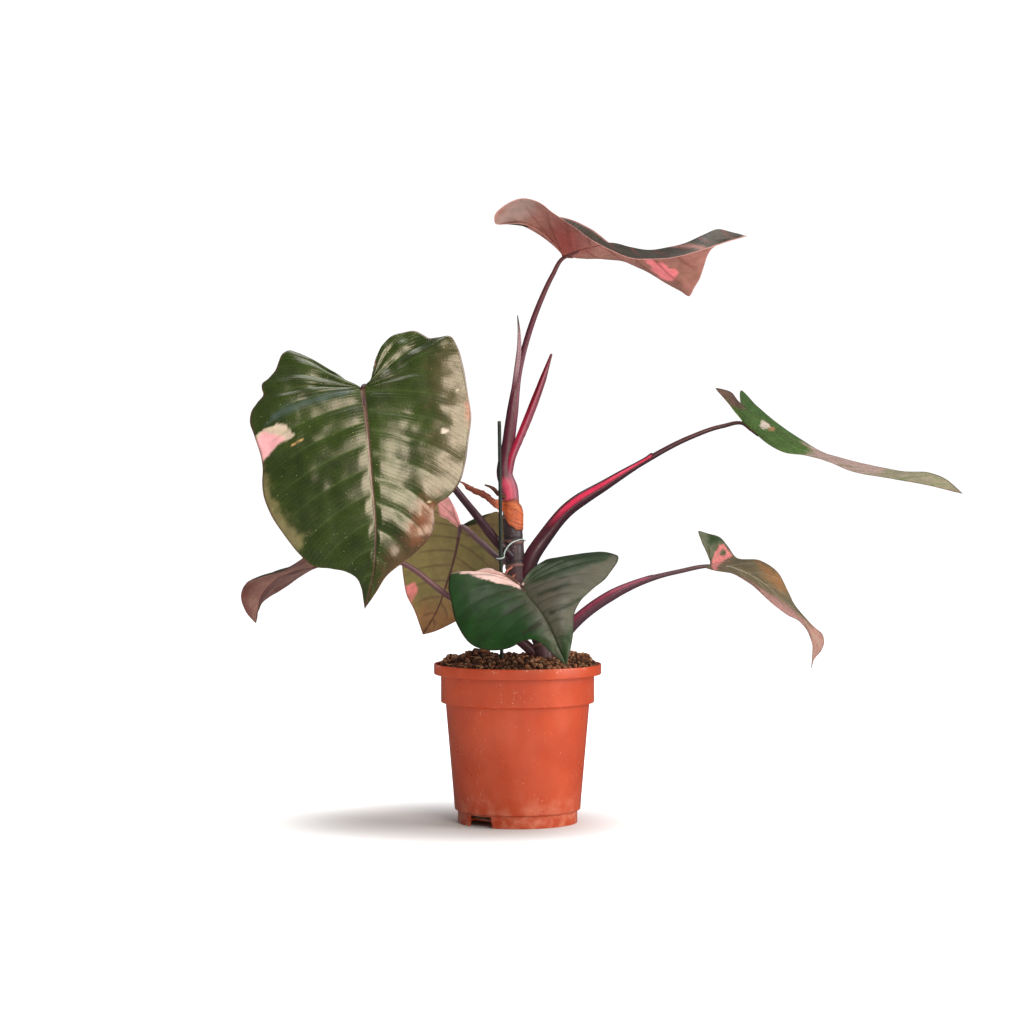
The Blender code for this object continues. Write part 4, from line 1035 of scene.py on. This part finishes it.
def make_dry_sheath():
    """The torn, dried sheath: a thin fibrous strip round the stem that hangs off to the left."""
    centres, outwards = list(SHEATH_TAIL), [(0.0, -1.0, 0.0)] * len(SHEATH_TAIL)
    for degrees, height, _ in SHEATH_WRAP:
        c, s = math.cos(math.radians(degrees)), math.sin(math.radians(degrees))
        centres.append((SHEATH_AXIS[0] + SHEATH_RADIUS * c, SHEATH_AXIS[1] + SHEATH_RADIUS * s, height))
        outwards.append((c, s, 0.0))
    widths = SHEATH_TAIL_WIDTHS + [item[2] for item in SHEATH_WRAP]
    steps = np.linalg.norm(np.diff(np.asarray(centres, float), axis=0), axis=1)
    knots = np.concatenate([[0.0], np.cumsum(steps)]) / steps.sum()
    shares, across = np.linspace(0, 1, SHEATH_ROWS), np.linspace(-1, 1, SHEATH_COLUMNS)
    middle = smooth_curve(centres, shares)
    out = np.stack([np.interp(shares, knots, [o[axis] for o in outwards]) for axis in range(3)], -1)
    out /= np.linalg.norm(out, axis=1)[:, None]
    width = np.interp(shares, knots, widths) / 2
    ragged = np.stack([fractal(np.stack([shares * 26, shares * 0 + row, shares * 0], -1), 1.0, 21, 4)
                       for row in (0.0, 9.0)])
    s, a = np.meshgrid(shares, across, indexing="ij")
    edge = np.where(a > 0, ragged[1][:, None], ragged[0][:, None])
    rise = a * (width[:, None] + 0.6 * edge * np.abs(a) ** 3)
    tail = 1.0 - smoothstep(0.3, 0.42, s)
    curl = tail * (1.0 - a**2) * 1.1 - (1 - tail) * 0.25 * np.abs(a) ** 6
    fibre = fractal(np.stack([s * 6, a * 9, s * 0], -1), 1.0, 22, 3)
    tip_slant = np.stack([s * 0 - 2.5 * a * (1.0 - smoothstep(0.0, 0.08, s)), s * 0, s * 0], -1)
    flat = middle[:, None] + out[:, None] * (curl + 0.22 * fibre + 0.1)[..., None] + tip_slant
    flat[..., 2] += rise
    points = placed(flat.reshape(-1, 3))
    index = np.arange(len(points)).reshape(s.shape)
    quads = grid_quads(index)
    normals = point_normals(points, quads)
    skin_height = normals * SHEATH_HALF_THICKNESS
    count = len(points)
    faces = quads.tolist() + (quads[:, ::-1] + count).tolist()
    loop = np.concatenate([index[0, :-1], index[:-1, -1], index[-1, ::-1][:-1], index[::-1, 0][:-1]])
    after = np.roll(loop, -1)
    faces += np.stack([loop, after, after + count, loop + count], axis=1).tolist()
    wrap = smoothstep(0.36, 0.5, s)
    colour = blend(rgb(136, 56, 28), rgb(206, 96, 46), wrap)
    colour = blend(colour, rgb(232, 138, 78), 0.7 * smoothstep(0.0, 0.6, fibre) * wrap)
    colour = blend(colour, rgb(96, 34, 18), 0.75 * smoothstep(0.1, 0.7, -fibre))
    colour = blend(colour, rgb(92, 40, 26), 0.7 * smoothstep(0.75, 1.0, np.abs(a)))
    tint = colour.reshape(-1, 3)
    nodes = Nodes("dry_sheath_skin")
    base = nodes.stored("tint", "Color")
    fine = nodes.ramp(nodes.noise((900.0, 900.0, 2600.0), 4.0), 0.3, 0.75, 0.72, 1.2)
    shade = nodes.shaded(base, fine)
    normal = nodes.bump(nodes.noise((700.0, 700.0, 2600.0), 5.0), 0.0003, 0.8)
    skin = nodes.finish(Base_Color=shade, Roughness=nodes.ramp(fine, 0.7, 1.2, 0.62, 0.45), Normal=normal)
    # The inner face takes the outer colours at 0.8 of their brightness: painted shade.
    obj = mesh_object("dried_sheath", np.concatenate([points + skin_height, points - skin_height]), faces,
                      [skin], np.concatenate([tint, tint * 0.8]))
    stand_for(obj, "dry_sheath")


make_dry_sheath()


def paint_stake(s, angle):
    """Green-black paint, with a dull, worn tip."""
    base = blend(rgb(26, 36, 30), rgb(40, 48, 42), smoothstep(-0.4, 0.6, streaks(s, angle, 31, 2.0, 30.0)))
    return blend(base, rgb(60, 62, 56), smoothstep(0.985, 1.0, s))


round_piece("stake", "support_stake", [(-11, -17, -37), (-12, -17, 92), (-13, -17, 175)], [1.3, 1.3],
            stalk_material("painted_stake", 0.45, 0.4, 900.0, 0.12), paint_stake, sides=24, step=1.5,
            shape=lambda s, angle: 0.05 * streaks(s, angle, 32, 2.0, 40.0), dome=0.6)

# The clip's turns round the stem and the stake: axis, radius, and the angle and height of each stop.
CLIP_ROUTE = [(-3, 0, 8.6, ((10, 90), (-55, 91), (-95, 89))),
              (-12, -17, 2.8, ((30, 81), (-30, 79), (-90, 78), (-170, 78)))]
clip_points = []
for axis_x, axis_y, reach, stops in CLIP_ROUTE:
    for degrees, height in stops:
        turn = math.radians(degrees)
        clip_points.append((axis_x + reach * math.cos(turn), axis_y + reach * math.sin(turn), height))
round_piece("clip", "plant_clip", clip_points, [0.5, 0.5],
            stalk_material("coated_wire", 0.3, 0.6, 1500.0, 0.1),
            two_tone((150, 170, 164), (186, 200, 196), 33), sides=16, step=0.5)


# ---------------------------------------------------------------------------------------------------------
# Pot

POT_SEGMENTS = 180
CORNER_STEPS = 4
MOST_OF_AN_EDGE = 0.45
SHARP_ANGLE = math.radians(40)
NOTCH_FLARE = 0.08
NOTCH_CORNER = 0.0012


def rounded(profile, radii):
    """A profile whose corners are turned into small arcs of the given radii."""
    points = [np.asarray(p, float) for p in profile]
    line = [points[0]]
    for index in range(1, len(points) - 1):
        before, corner, after = points[index - 1:index + 2]
        lengths = np.linalg.norm(before - corner), np.linalg.norm(after - corner)
        reach = min(radii[index], MOST_OF_AN_EDGE * lengths[0], MOST_OF_AN_EDGE * lengths[1])
        start = corner + (before - corner) / lengths[0] * reach
        end = corner + (after - corner) / lengths[1] * reach
        for t in np.linspace(0, 1, CORNER_STEPS + 1) if reach > 1e-6 else [0.5]:
            line.append((1 - t) ** 2 * start + 2 * t * (1 - t) * corner + t**2 * end)
    return line + [points[-1]]


def turned(name, profile):
    """A solid turned about the Z axis from a profile that starts and ends on the axis."""
    bm = bmesh.new()
    verts = [bm.verts.new((float(r), 0.0, float(z))) for r, z in profile]
    edges = [bm.edges.new(pair) for pair in zip(verts, verts[1:])]
    bmesh.ops.spin(bm, geom=verts + edges, cent=(0, 0, 0), axis=(0, 0, 1), dvec=(0, 0, 0),
                   angle=2 * math.pi, steps=POT_SEGMENTS, use_merge=True)
    bmesh.ops.remove_doubles(bm, verts=bm.verts[:], dist=1e-7)
    bmesh.ops.recalc_face_normals(bm, faces=bm.faces[:])
    mesh = bpy.data.meshes.new(name)
    bm.to_mesh(mesh)
    bm.free()
    mesh.shade_smooth()
    mesh.set_sharp_from_angle(angle=SHARP_ANGLE)
    return linked(name, mesh)


def cut_notch(pot, angle):
    """Opens one drainage notch in the foot ring and the edge of the floor."""
    bm = bmesh.new()
    bmesh.ops.create_cube(bm, size=1.0)
    for vert in bm.verts:
        top = vert.co.z > 0
        vert.co.x = FOOT_RADIUS + WALL if vert.co.x > 0 else FOOT_RADIUS - NOTCH_DEPTH
        half_width = 0.5 * NOTCH_WIDTH * (1.0 - NOTCH_FLARE if top else 1.0 + NOTCH_FLARE)
        vert.co.y = math.copysign(half_width, vert.co.y)
        vert.co.z = NOTCH_HEIGHT if top else -FLOOR_LIFT
    bmesh.ops.rotate(bm, verts=bm.verts[:], matrix=Matrix.Rotation(math.radians(angle), 3, "Z"))
    upright = [e for e in bm.edges if abs(e.verts[0].co.z - e.verts[1].co.z) > NOTCH_HEIGHT]
    bmesh.ops.bevel(bm, geom=upright, offset=NOTCH_CORNER, segments=CORNER_STEPS, affect="EDGES")
    mesh = bpy.data.meshes.new("notch")
    bm.to_mesh(mesh)
    bm.free()
    cutter = linked("notch", mesh)
    boolean = pot.modifiers.new("notch", "BOOLEAN")
    boolean.operation = "DIFFERENCE"
    boolean.solver = "EXACT"
    boolean.object = cutter
    graph = bpy.context.evaluated_depsgraph_get()
    pot.data = bpy.data.meshes.new_from_object(pot.evaluated_get(graph))
    pot.modifiers.clear()
    bpy.data.objects.remove(cutter)


def pot_plastic():
    """Terracotta-coloured plastic: satin, a little cloudy, with dust, scuffs and a dulled foot."""
    nodes = Nodes("terracotta_plastic")
    place = nodes.add("ShaderNodeSeparateXYZ", Vector=nodes.place())
    height = place.outputs["Z"]
    cloud = nodes.ramp(nodes.noise(28.0, 5.0), 0.3, 0.7)
    colour = nodes.mix(cloud, rgb(170, 62, 29), rgb(186, 75, 40))
    flow = nodes.ramp(nodes.noise((60.0, 60.0, 9.0), 4.0), 0.35, 0.7, 0.0, 0.35)
    colour = nodes.mix(flow, colour, rgb(164, 56, 26))
    dulled = nodes.ramp(nodes.noise(120.0, 5.0), 0.35, 0.7)
    low = nodes.maths("MULTIPLY", nodes.ramp(height, 0.03, 0.0), dulled)
    colour = nodes.mix(nodes.maths("MULTIPLY", low, 0.35), colour, rgb(232, 168, 138))
    rim = nodes.ramp(height, POT_HEIGHT - 0.004, POT_HEIGHT)
    dust = nodes.ramp(nodes.noise(900.0, 3.0), 0.66, 0.72)
    specks = nodes.maths("MULTIPLY", dust, nodes.ramp(nodes.noise(45.0, 3.0), 0.5, 0.66))
    rim_dust = nodes.maths("MULTIPLY", nodes.ramp(nodes.noise(700.0, 4.0), 0.56, 0.64),
                           nodes.maths("MULTIPLY", rim, nodes.ramp(nodes.noise(55.0, 2.0), 0.46, 0.62)))
    marks = nodes.maths("MAXIMUM", specks, rim_dust)
    colour = nodes.mix(nodes.maths("MULTIPLY", marks, 0.8), colour, rgb(246, 214, 196))
    scratch = nodes.ramp(nodes.noise((500.0, 500.0, 60.0), 2.0, distortion=1.5),
                         0.7, 0.74)
    colour = nodes.mix(nodes.maths("MULTIPLY", scratch, 0.25), colour, rgb(240, 150, 112))
    fine = nodes.bump(nodes.noise(1600.0, 3.0), 0.00004, 0.6)
    wavy = nodes.bump(nodes.noise((30.0, 30.0, 12.0), 2.0), 0.0006, 0.35, fine)
    normal = nodes.bump(marks, 0.0001, 0.5, wavy)
    rough = nodes.ramp(nodes.maths("ADD", nodes.noise(60.0, 5.0), nodes.maths("MULTIPLY", marks, 0.8)),
                       0.3, 1.0, 0.27, 0.55)
    nodes.shader.inputs["Specular IOR Level"].default_value = 0.5
    return nodes.finish(Base_Color=colour, Roughness=rough, Normal=normal)


def make_pot():
    """The pot: rounded rim, collar, tapering body, recessed foot, pad and notches."""
    rim_low = POT_HEIGHT - RIM_HEIGHT
    collar_low = rim_low - COLLAR_HEIGHT
    body_low = FOOT_HEIGHT + STEP_FALL
    outside = [
        (RIM_RADIUS, POT_HEIGHT, 0.0009), (RIM_RADIUS, rim_low, 0.0009), (COLLAR_RADIUS, rim_low, 0.0005),
        (COLLAR_RADIUS, collar_low, 0.0006), (BODY_TOP_RADIUS, collar_low - STEP_FALL, 0.0006),
        (BODY_FOOT_RADIUS, body_low, 0.0006), (FOOT_RADIUS, FOOT_HEIGHT, 0.0005), (FOOT_RADIUS, 0.0, 0.0005),
        (FOOT_RADIUS - WALL, 0.0, 0.0004), (FOOT_RADIUS - WALL, FLOOR_LIFT, 0.0005),
        (PAD_RADIUS, FLOOR_LIFT, 0.0005), (PAD_RADIUS, 0.0, 0.0005), (0.0, 0.0, 0.0)]
    inside = [
        (0.0, WALL, 0.0), (PAD_RADIUS - WALL, WALL, 0.0003), (PAD_RADIUS - WALL, FLOOR_LIFT + WALL, 0.0003),
        (FOOT_RADIUS - WALL, FLOOR_LIFT + WALL, 0.0005), (FOOT_RADIUS - WALL, FOOT_HEIGHT + WALL / 2, 0.0005),
        (BODY_FOOT_RADIUS - WALL, body_low + WALL / 2, 0.0005),
        (BODY_TOP_RADIUS - WALL, collar_low - STEP_FALL + WALL / 2, 0.0005),
        (COLLAR_RADIUS - WALL, collar_low + WALL, 0.0005), (COLLAR_RADIUS - WALL, rim_low + WALL, 0.0005),
        (RIM_RADIUS - WALL, rim_low + WALL, 0.0005), (RIM_RADIUS - WALL, POT_HEIGHT, 0.0006)]
    corners = inside + outside
    profile = rounded([(r, z) for r, z, _ in corners], [item[2] for item in corners])
    pot = turned("nursery_pot", profile)
    for angle in NOTCH_ANGLES:
        cut_notch(pot, angle)
    pot.data.materials.clear()
    pot.data.materials.append(pot_plastic())
    stand_for(pot, "pot")


make_pot()


# ---------------------------------------------------------------------------------------------------------
# Soil

SOIL_RINGS = 64
SOIL_SEGMENTS = 220
RING_CROWDING = 0.85
# Bumps of the soil's surface: height and size in metres, seed and octaves of the noise.
SOIL_BUMPS = ((0.0011, 0.006, 42, 4), (0.0005, 0.0016, 43, 2))
CRUMBS = 2300
CRUMB_TONES = ((84, 54, 38), (112, 76, 54), (140, 100, 72), (172, 130, 98), (60, 38, 28), (148, 94, 64))
FIBRES = 260
# One crumb in this many lies on a heap.
ON_A_HEAP = 4
# Heaps: place, size and height in millimetres.
SOIL_HEAPS = [(-30, 22, 14, 5.5), (40, 14, 13, 5.0), (8, 34, 18, 1.0), (-50, 6, 9, 4.5), (52, 4, 8, 4.0)]


def soil_height(x, y):
    """The soil's smooth surface, in metres, at a place in metres: mounded, with a few heaps."""
    radius = np.hypot(x, y)
    share = np.clip(radius / (RIM_RADIUS - WALL), 0, 1)
    height = SOIL_EDGE + SOIL_MOUND * (1 - share**2)
    for heap_x, heap_y, size, rise in SOIL_HEAPS:
        off = np.hypot(x / MM - heap_x, y / MM - heap_y) / size
        height = height + rise * MM * np.exp(-(off**2)) * (1 - smoothstep(0.85, 1.0, share))
    return height


def crumb_shapes(count, rng):
    """Irregular crumbs as one list of points and faces, with a tone for each."""
    bm = bmesh.new()
    bmesh.ops.create_icosphere(bm, subdivisions=2, radius=1.0)
    ball = np.array([v.co[:] for v in bm.verts])
    ball_faces = np.array([[v.index for v in f.verts] for f in bm.faces])
    bm.free()
    points, faces, tones = [], [], []
    browns = [rgb(*tone) for tone in CRUMB_TONES]
    for number in range(count + FIBRES):
        fibre = number >= count
        size = rng.uniform(0.5, 0.9) if fibre else 0.55 + 1.5 * rng.random() ** 2.6
        stretch = rng.uniform(0.65, 1.25, 3)
        if fibre:
            stretch = np.array([rng.uniform(3.0, 7.0), 0.35, 0.3])
        shape = ball * stretch
        lumps = fractal(ball + number * 3.7, 0.9, 41, 2)
        shape = shape * (1 + (0.12 if fibre else 0.38) * lumps)[:, None]
        turn = Matrix.Rotation(rng.uniform(0, 6.28), 3, "Z") @ Matrix.Rotation(
            rng.uniform(-0.5, 0.5) if fibre else rng.uniform(0, 6.28), 3, "Y")
        shape = shape @ np.array(turn).T * size * MM
        radius = (RIM_RADIUS - WALL - 0.0022) * math.sqrt(rng.random())
        around = rng.uniform(0, 2 * math.pi)
        x, y = radius * math.cos(around), radius * math.sin(around)
        if number % ON_A_HEAP == 0 and not fibre:
            heap = SOIL_HEAPS[number // ON_A_HEAP % len(SOIL_HEAPS)]
            x, y = (heap[axis] * MM + rng.normal(0, heap[2] * 0.5) * MM for axis in (0, 1))
            if math.hypot(x, y) > RIM_RADIUS - 0.005:
                x, y = x * 0.8, y * 0.8
        z = float(soil_height(np.array(x), np.array(y))) + (0.35 * size + 0.3) * MM
        tone = browns[int(rng.integers(len(browns)))] * rng.uniform(0.75, 1.25)
        if fibre:
            tone = blend(rgb(150, 104, 66), rgb(96, 62, 40), np.array(rng.random()))
        faces.append(ball_faces + len(ball) * number)
        points.append(shape + np.array([x, y, z]))
        tones.append(np.repeat(tone[None], len(ball), axis=0))
    return np.concatenate(points), np.concatenate(faces), np.concatenate(tones)


def soil_material():
    """Dark, crumbly potting soil: its stored tones, with grains and peat fibres."""
    nodes = Nodes("potting_soil")
    tint = nodes.stored("tint", "Color")
    grain = nodes.ramp(nodes.noise(1500.0, 4.0), 0.25, 0.8, 0.55, 1.35)
    patch = nodes.ramp(nodes.noise(240.0, 4.0), 0.3, 0.7, 0.75, 1.2)
    colour = nodes.shaded(tint, nodes.maths("MULTIPLY", grain, patch))
    pale = nodes.ramp(nodes.noise(1300.0, 2.0), 0.7, 0.74, 0.0, 0.5)
    colour = nodes.mix(pale, colour, rgb(196, 150, 112))
    low = nodes.bump(nodes.noise(800.0, 6.0), 0.0009, 0.9)
    normal = nodes.bump(nodes.cells(1300.0), 0.0004, 0.7, low)
    nodes.shader.inputs["Specular IOR Level"].default_value = 0.25
    return nodes.finish(Base_Color=colour, Roughness=nodes.ramp(grain, 0.6, 1.3, 0.95, 0.75), Normal=normal)


def make_soil():
    """The soil bed with its crumbs and fibres, as one piece."""
    rng = np.random.default_rng(SEED)
    inner = RIM_RADIUS - WALL - GAP
    radii = inner * np.linspace(0.0, 1.0, SOIL_RINGS + 1)[1:] ** RING_CROWDING
    around = np.linspace(0, 2 * np.pi, SOIL_SEGMENTS, endpoint=False)
    r, t = np.meshgrid(radii, around, indexing="ij")
    x, y = r * np.cos(t), r * np.sin(t)
    flat = np.stack([x, y, np.zeros_like(x)], -1)
    bumps = sum(height * fractal(flat, size, seed, octaves) for height, size, seed, octaves in SOIL_BUMPS)
    z = soil_height(x, y) + bumps * (1 - smoothstep(inner - 0.002, inner, r))
    top = np.stack([x, y, z], -1)
    ledge, foot = POT_HEIGHT - RIM_HEIGHT, FLOOR_LIFT + WALL + GAP
    shrink = WALL + GAP
    wall = [(RIM_RADIUS - shrink, ledge + shrink), (COLLAR_RADIUS - shrink, ledge + shrink),
            (COLLAR_RADIUS - shrink, ledge - COLLAR_HEIGHT + 2 * WALL),
            (BODY_TOP_RADIUS - shrink, ledge - COLLAR_HEIGHT - STEP_FALL + WALL),
            (BODY_FOOT_RADIUS - shrink, FOOT_HEIGHT + STEP_FALL + WALL),
            (FOOT_RADIUS - shrink, FOOT_HEIGHT + WALL), (FOOT_RADIUS - shrink, foot)]
    sides = [np.stack([a * np.cos(around), a * np.sin(around), np.full(SOIL_SEGMENTS, b)], -1)
             for a, b in wall]
    grid = np.concatenate([top, np.stack(sides)])
    summit = float(soil_height(np.array(0.0), np.array(0.0)))
    points = np.concatenate([grid.reshape(-1, 3), [[0, 0, summit]], [[0, 0, foot]]])
    index = np.arange(grid.shape[0] * SOIL_SEGMENTS).reshape(grid.shape[0], SOIL_SEGMENTS)
    index = np.concatenate([index, index[:, :1]], axis=1)
    faces = grid_quads(index).tolist()
    middle, floor = len(points) - 2, len(points) - 1
    faces += [[middle, int(a), int(b)] for a, b in zip(index[0], index[0][1:])]
    faces += [[floor, int(b), int(a)] for a, b in zip(index[-1], index[-1][1:])]
    shade = 0.5 + 0.5 * fractal(points, 0.004, 44, 3)
    tint = blend(rgb(46, 30, 22), rgb(112, 80, 58), np.clip(shade, 0, 1))
    crumb_points, crumb_faces, crumb_tones = crumb_shapes(CRUMBS, rng)
    faces += (crumb_faces + len(points)).tolist()
    soil = mesh_object("potting_soil", np.concatenate([points, crumb_points]), faces, [soil_material()],
                       np.concatenate([tint, crumb_tones]))
    stand_for(soil, "soil")


make_soil()


# ---------------------------------------------------------------------------------------------------------
# Floor, light and camera


# The floor glows outside a round patch left of the pot, where the glow fades out as a painted shadow: the
# patch's middle, and its two radii.
FLOOR_SIZE = 30.0
FLOOR_TONE = (0.66, 0.655, 0.655, 1.0)
FLOOR_GLOW = 0.9
SHADE_CENTRE = (-0.04, 0.0, 0.0)
SHADE_RADII = (0.05, 0.2)
# Softboxes: place, what each looks at, width, height, power and tone.
WHITE = (1.0, 1.0, 1.0)
WARM = (1.0, 0.87, 0.74)
SOFTBOXES = {
    "key": ((1.55, -0.45, 0.85), (0, 0, 0.22), 1.1, 1.7, 27.0, WHITE),
    "front": ((0.72, -1.92, 1.0), (0, 0, 0.3), 0.9, 1.3, 27.0, WARM),
    "overhead": ((0.1, 0.2, 1.9), (0, 0, 0), 1.6, 1.6, 24.0, WHITE),
}
# How bright the surround is as light, in mirrored rays and to the camera.
SURROUND = 0.26
SURROUND_MIRRORED = 0.12
SURROUND_SEEN = 1.05


def make_floor():
    """A large pale floor that glows, except in a round patch by the pot, a painted shadow."""
    bm = bmesh.new()
    bmesh.ops.create_grid(bm, x_segments=8, y_segments=8, size=FLOOR_SIZE)
    mesh = bpy.data.meshes.new("floor")
    bm.to_mesh(mesh)
    bm.free()
    floor = linked("floor", mesh)
    nodes = Nodes("pale_floor")
    nodes.shader.inputs["Base Color"].default_value = FLOOR_TONE
    nodes.shader.inputs["Roughness"].default_value = 0.9
    nodes.shader.inputs["Specular IOR Level"].default_value = 0.0
    nodes.shader.inputs["Emission Color"].default_value = (*WHITE, 1.0)
    # The glow fades out in a round patch left of the pot: a painted shadow.
    away = nodes.add("ShaderNodeVectorMath", {"operation": "DISTANCE"})
    nodes.link(nodes.place(), away.inputs[0])
    nodes.link(SHADE_CENTRE, away.inputs[1])
    glow = nodes.ramp(away.outputs["Value"], *SHADE_RADII, 0.0, FLOOR_GLOW)
    nodes.link(glow, nodes.shader.inputs["Emission Strength"])
    mesh.materials.append(nodes.material)
    floor.visible_glossy = False


def softbox(name, place, target, width, height, power, tone):
    """A large rectangular light that looks at the target."""
    data = bpy.data.lights.new(name, "AREA")
    data.shape = "RECTANGLE"
    data.size = width
    data.size_y = height
    data.energy = power
    data.color = tone
    light = linked(name, data)
    light.location = place
    light.rotation_euler = (Vector(target) - Vector(place)).to_track_quat("-Z", "Y").to_euler()


def make_light():
    """A big softbox on the right, a warm one in front above, one overhead and an even white surround."""
    for name, settings in SOFTBOXES.items():
        softbox(name, *settings)
    world = bpy.data.worlds.new("surround")
    world.use_nodes = True
    background = world.node_tree.nodes["Background"]
    background.inputs["Color"].default_value = (*WHITE, 1.0)
    paths = world.node_tree.nodes.new("ShaderNodeLightPath")
    strength = world.node_tree.nodes.new("ShaderNodeMapRange")
    strength.inputs["To Max"].default_value = SURROUND_SEEN
    mirrored = world.node_tree.nodes.new("ShaderNodeMapRange")
    mirrored.inputs["To Min"].default_value = SURROUND
    mirrored.inputs["To Max"].default_value = SURROUND_MIRRORED
    world.node_tree.links.new(paths.outputs["Is Glossy Ray"], mirrored.inputs["Value"])
    world.node_tree.links.new(mirrored.outputs["Result"], strength.inputs["To Min"])
    world.node_tree.links.new(paths.outputs["Is Camera Ray"], strength.inputs["Value"])
    world.node_tree.links.new(strength.outputs["Result"], background.inputs["Strength"])
    bpy.context.scene.world = world


def make_camera():
    """The camera, level with the leaves, on a long lens."""
    data = bpy.data.cameras.new("camera")
    data.lens = CAMERA_LENS
    data.sensor_width = CAMERA_SENSOR
    camera = linked("camera", data)
    camera.location = CAMERA_PLACE
    camera.rotation_euler = (math.pi / 2 - CAMERA_TILT, 0.0, 0.0)
    bpy.context.scene.camera = camera
    bpy.context.scene.view_settings.view_transform = "Standard"


make_floor()
make_light()
make_camera()
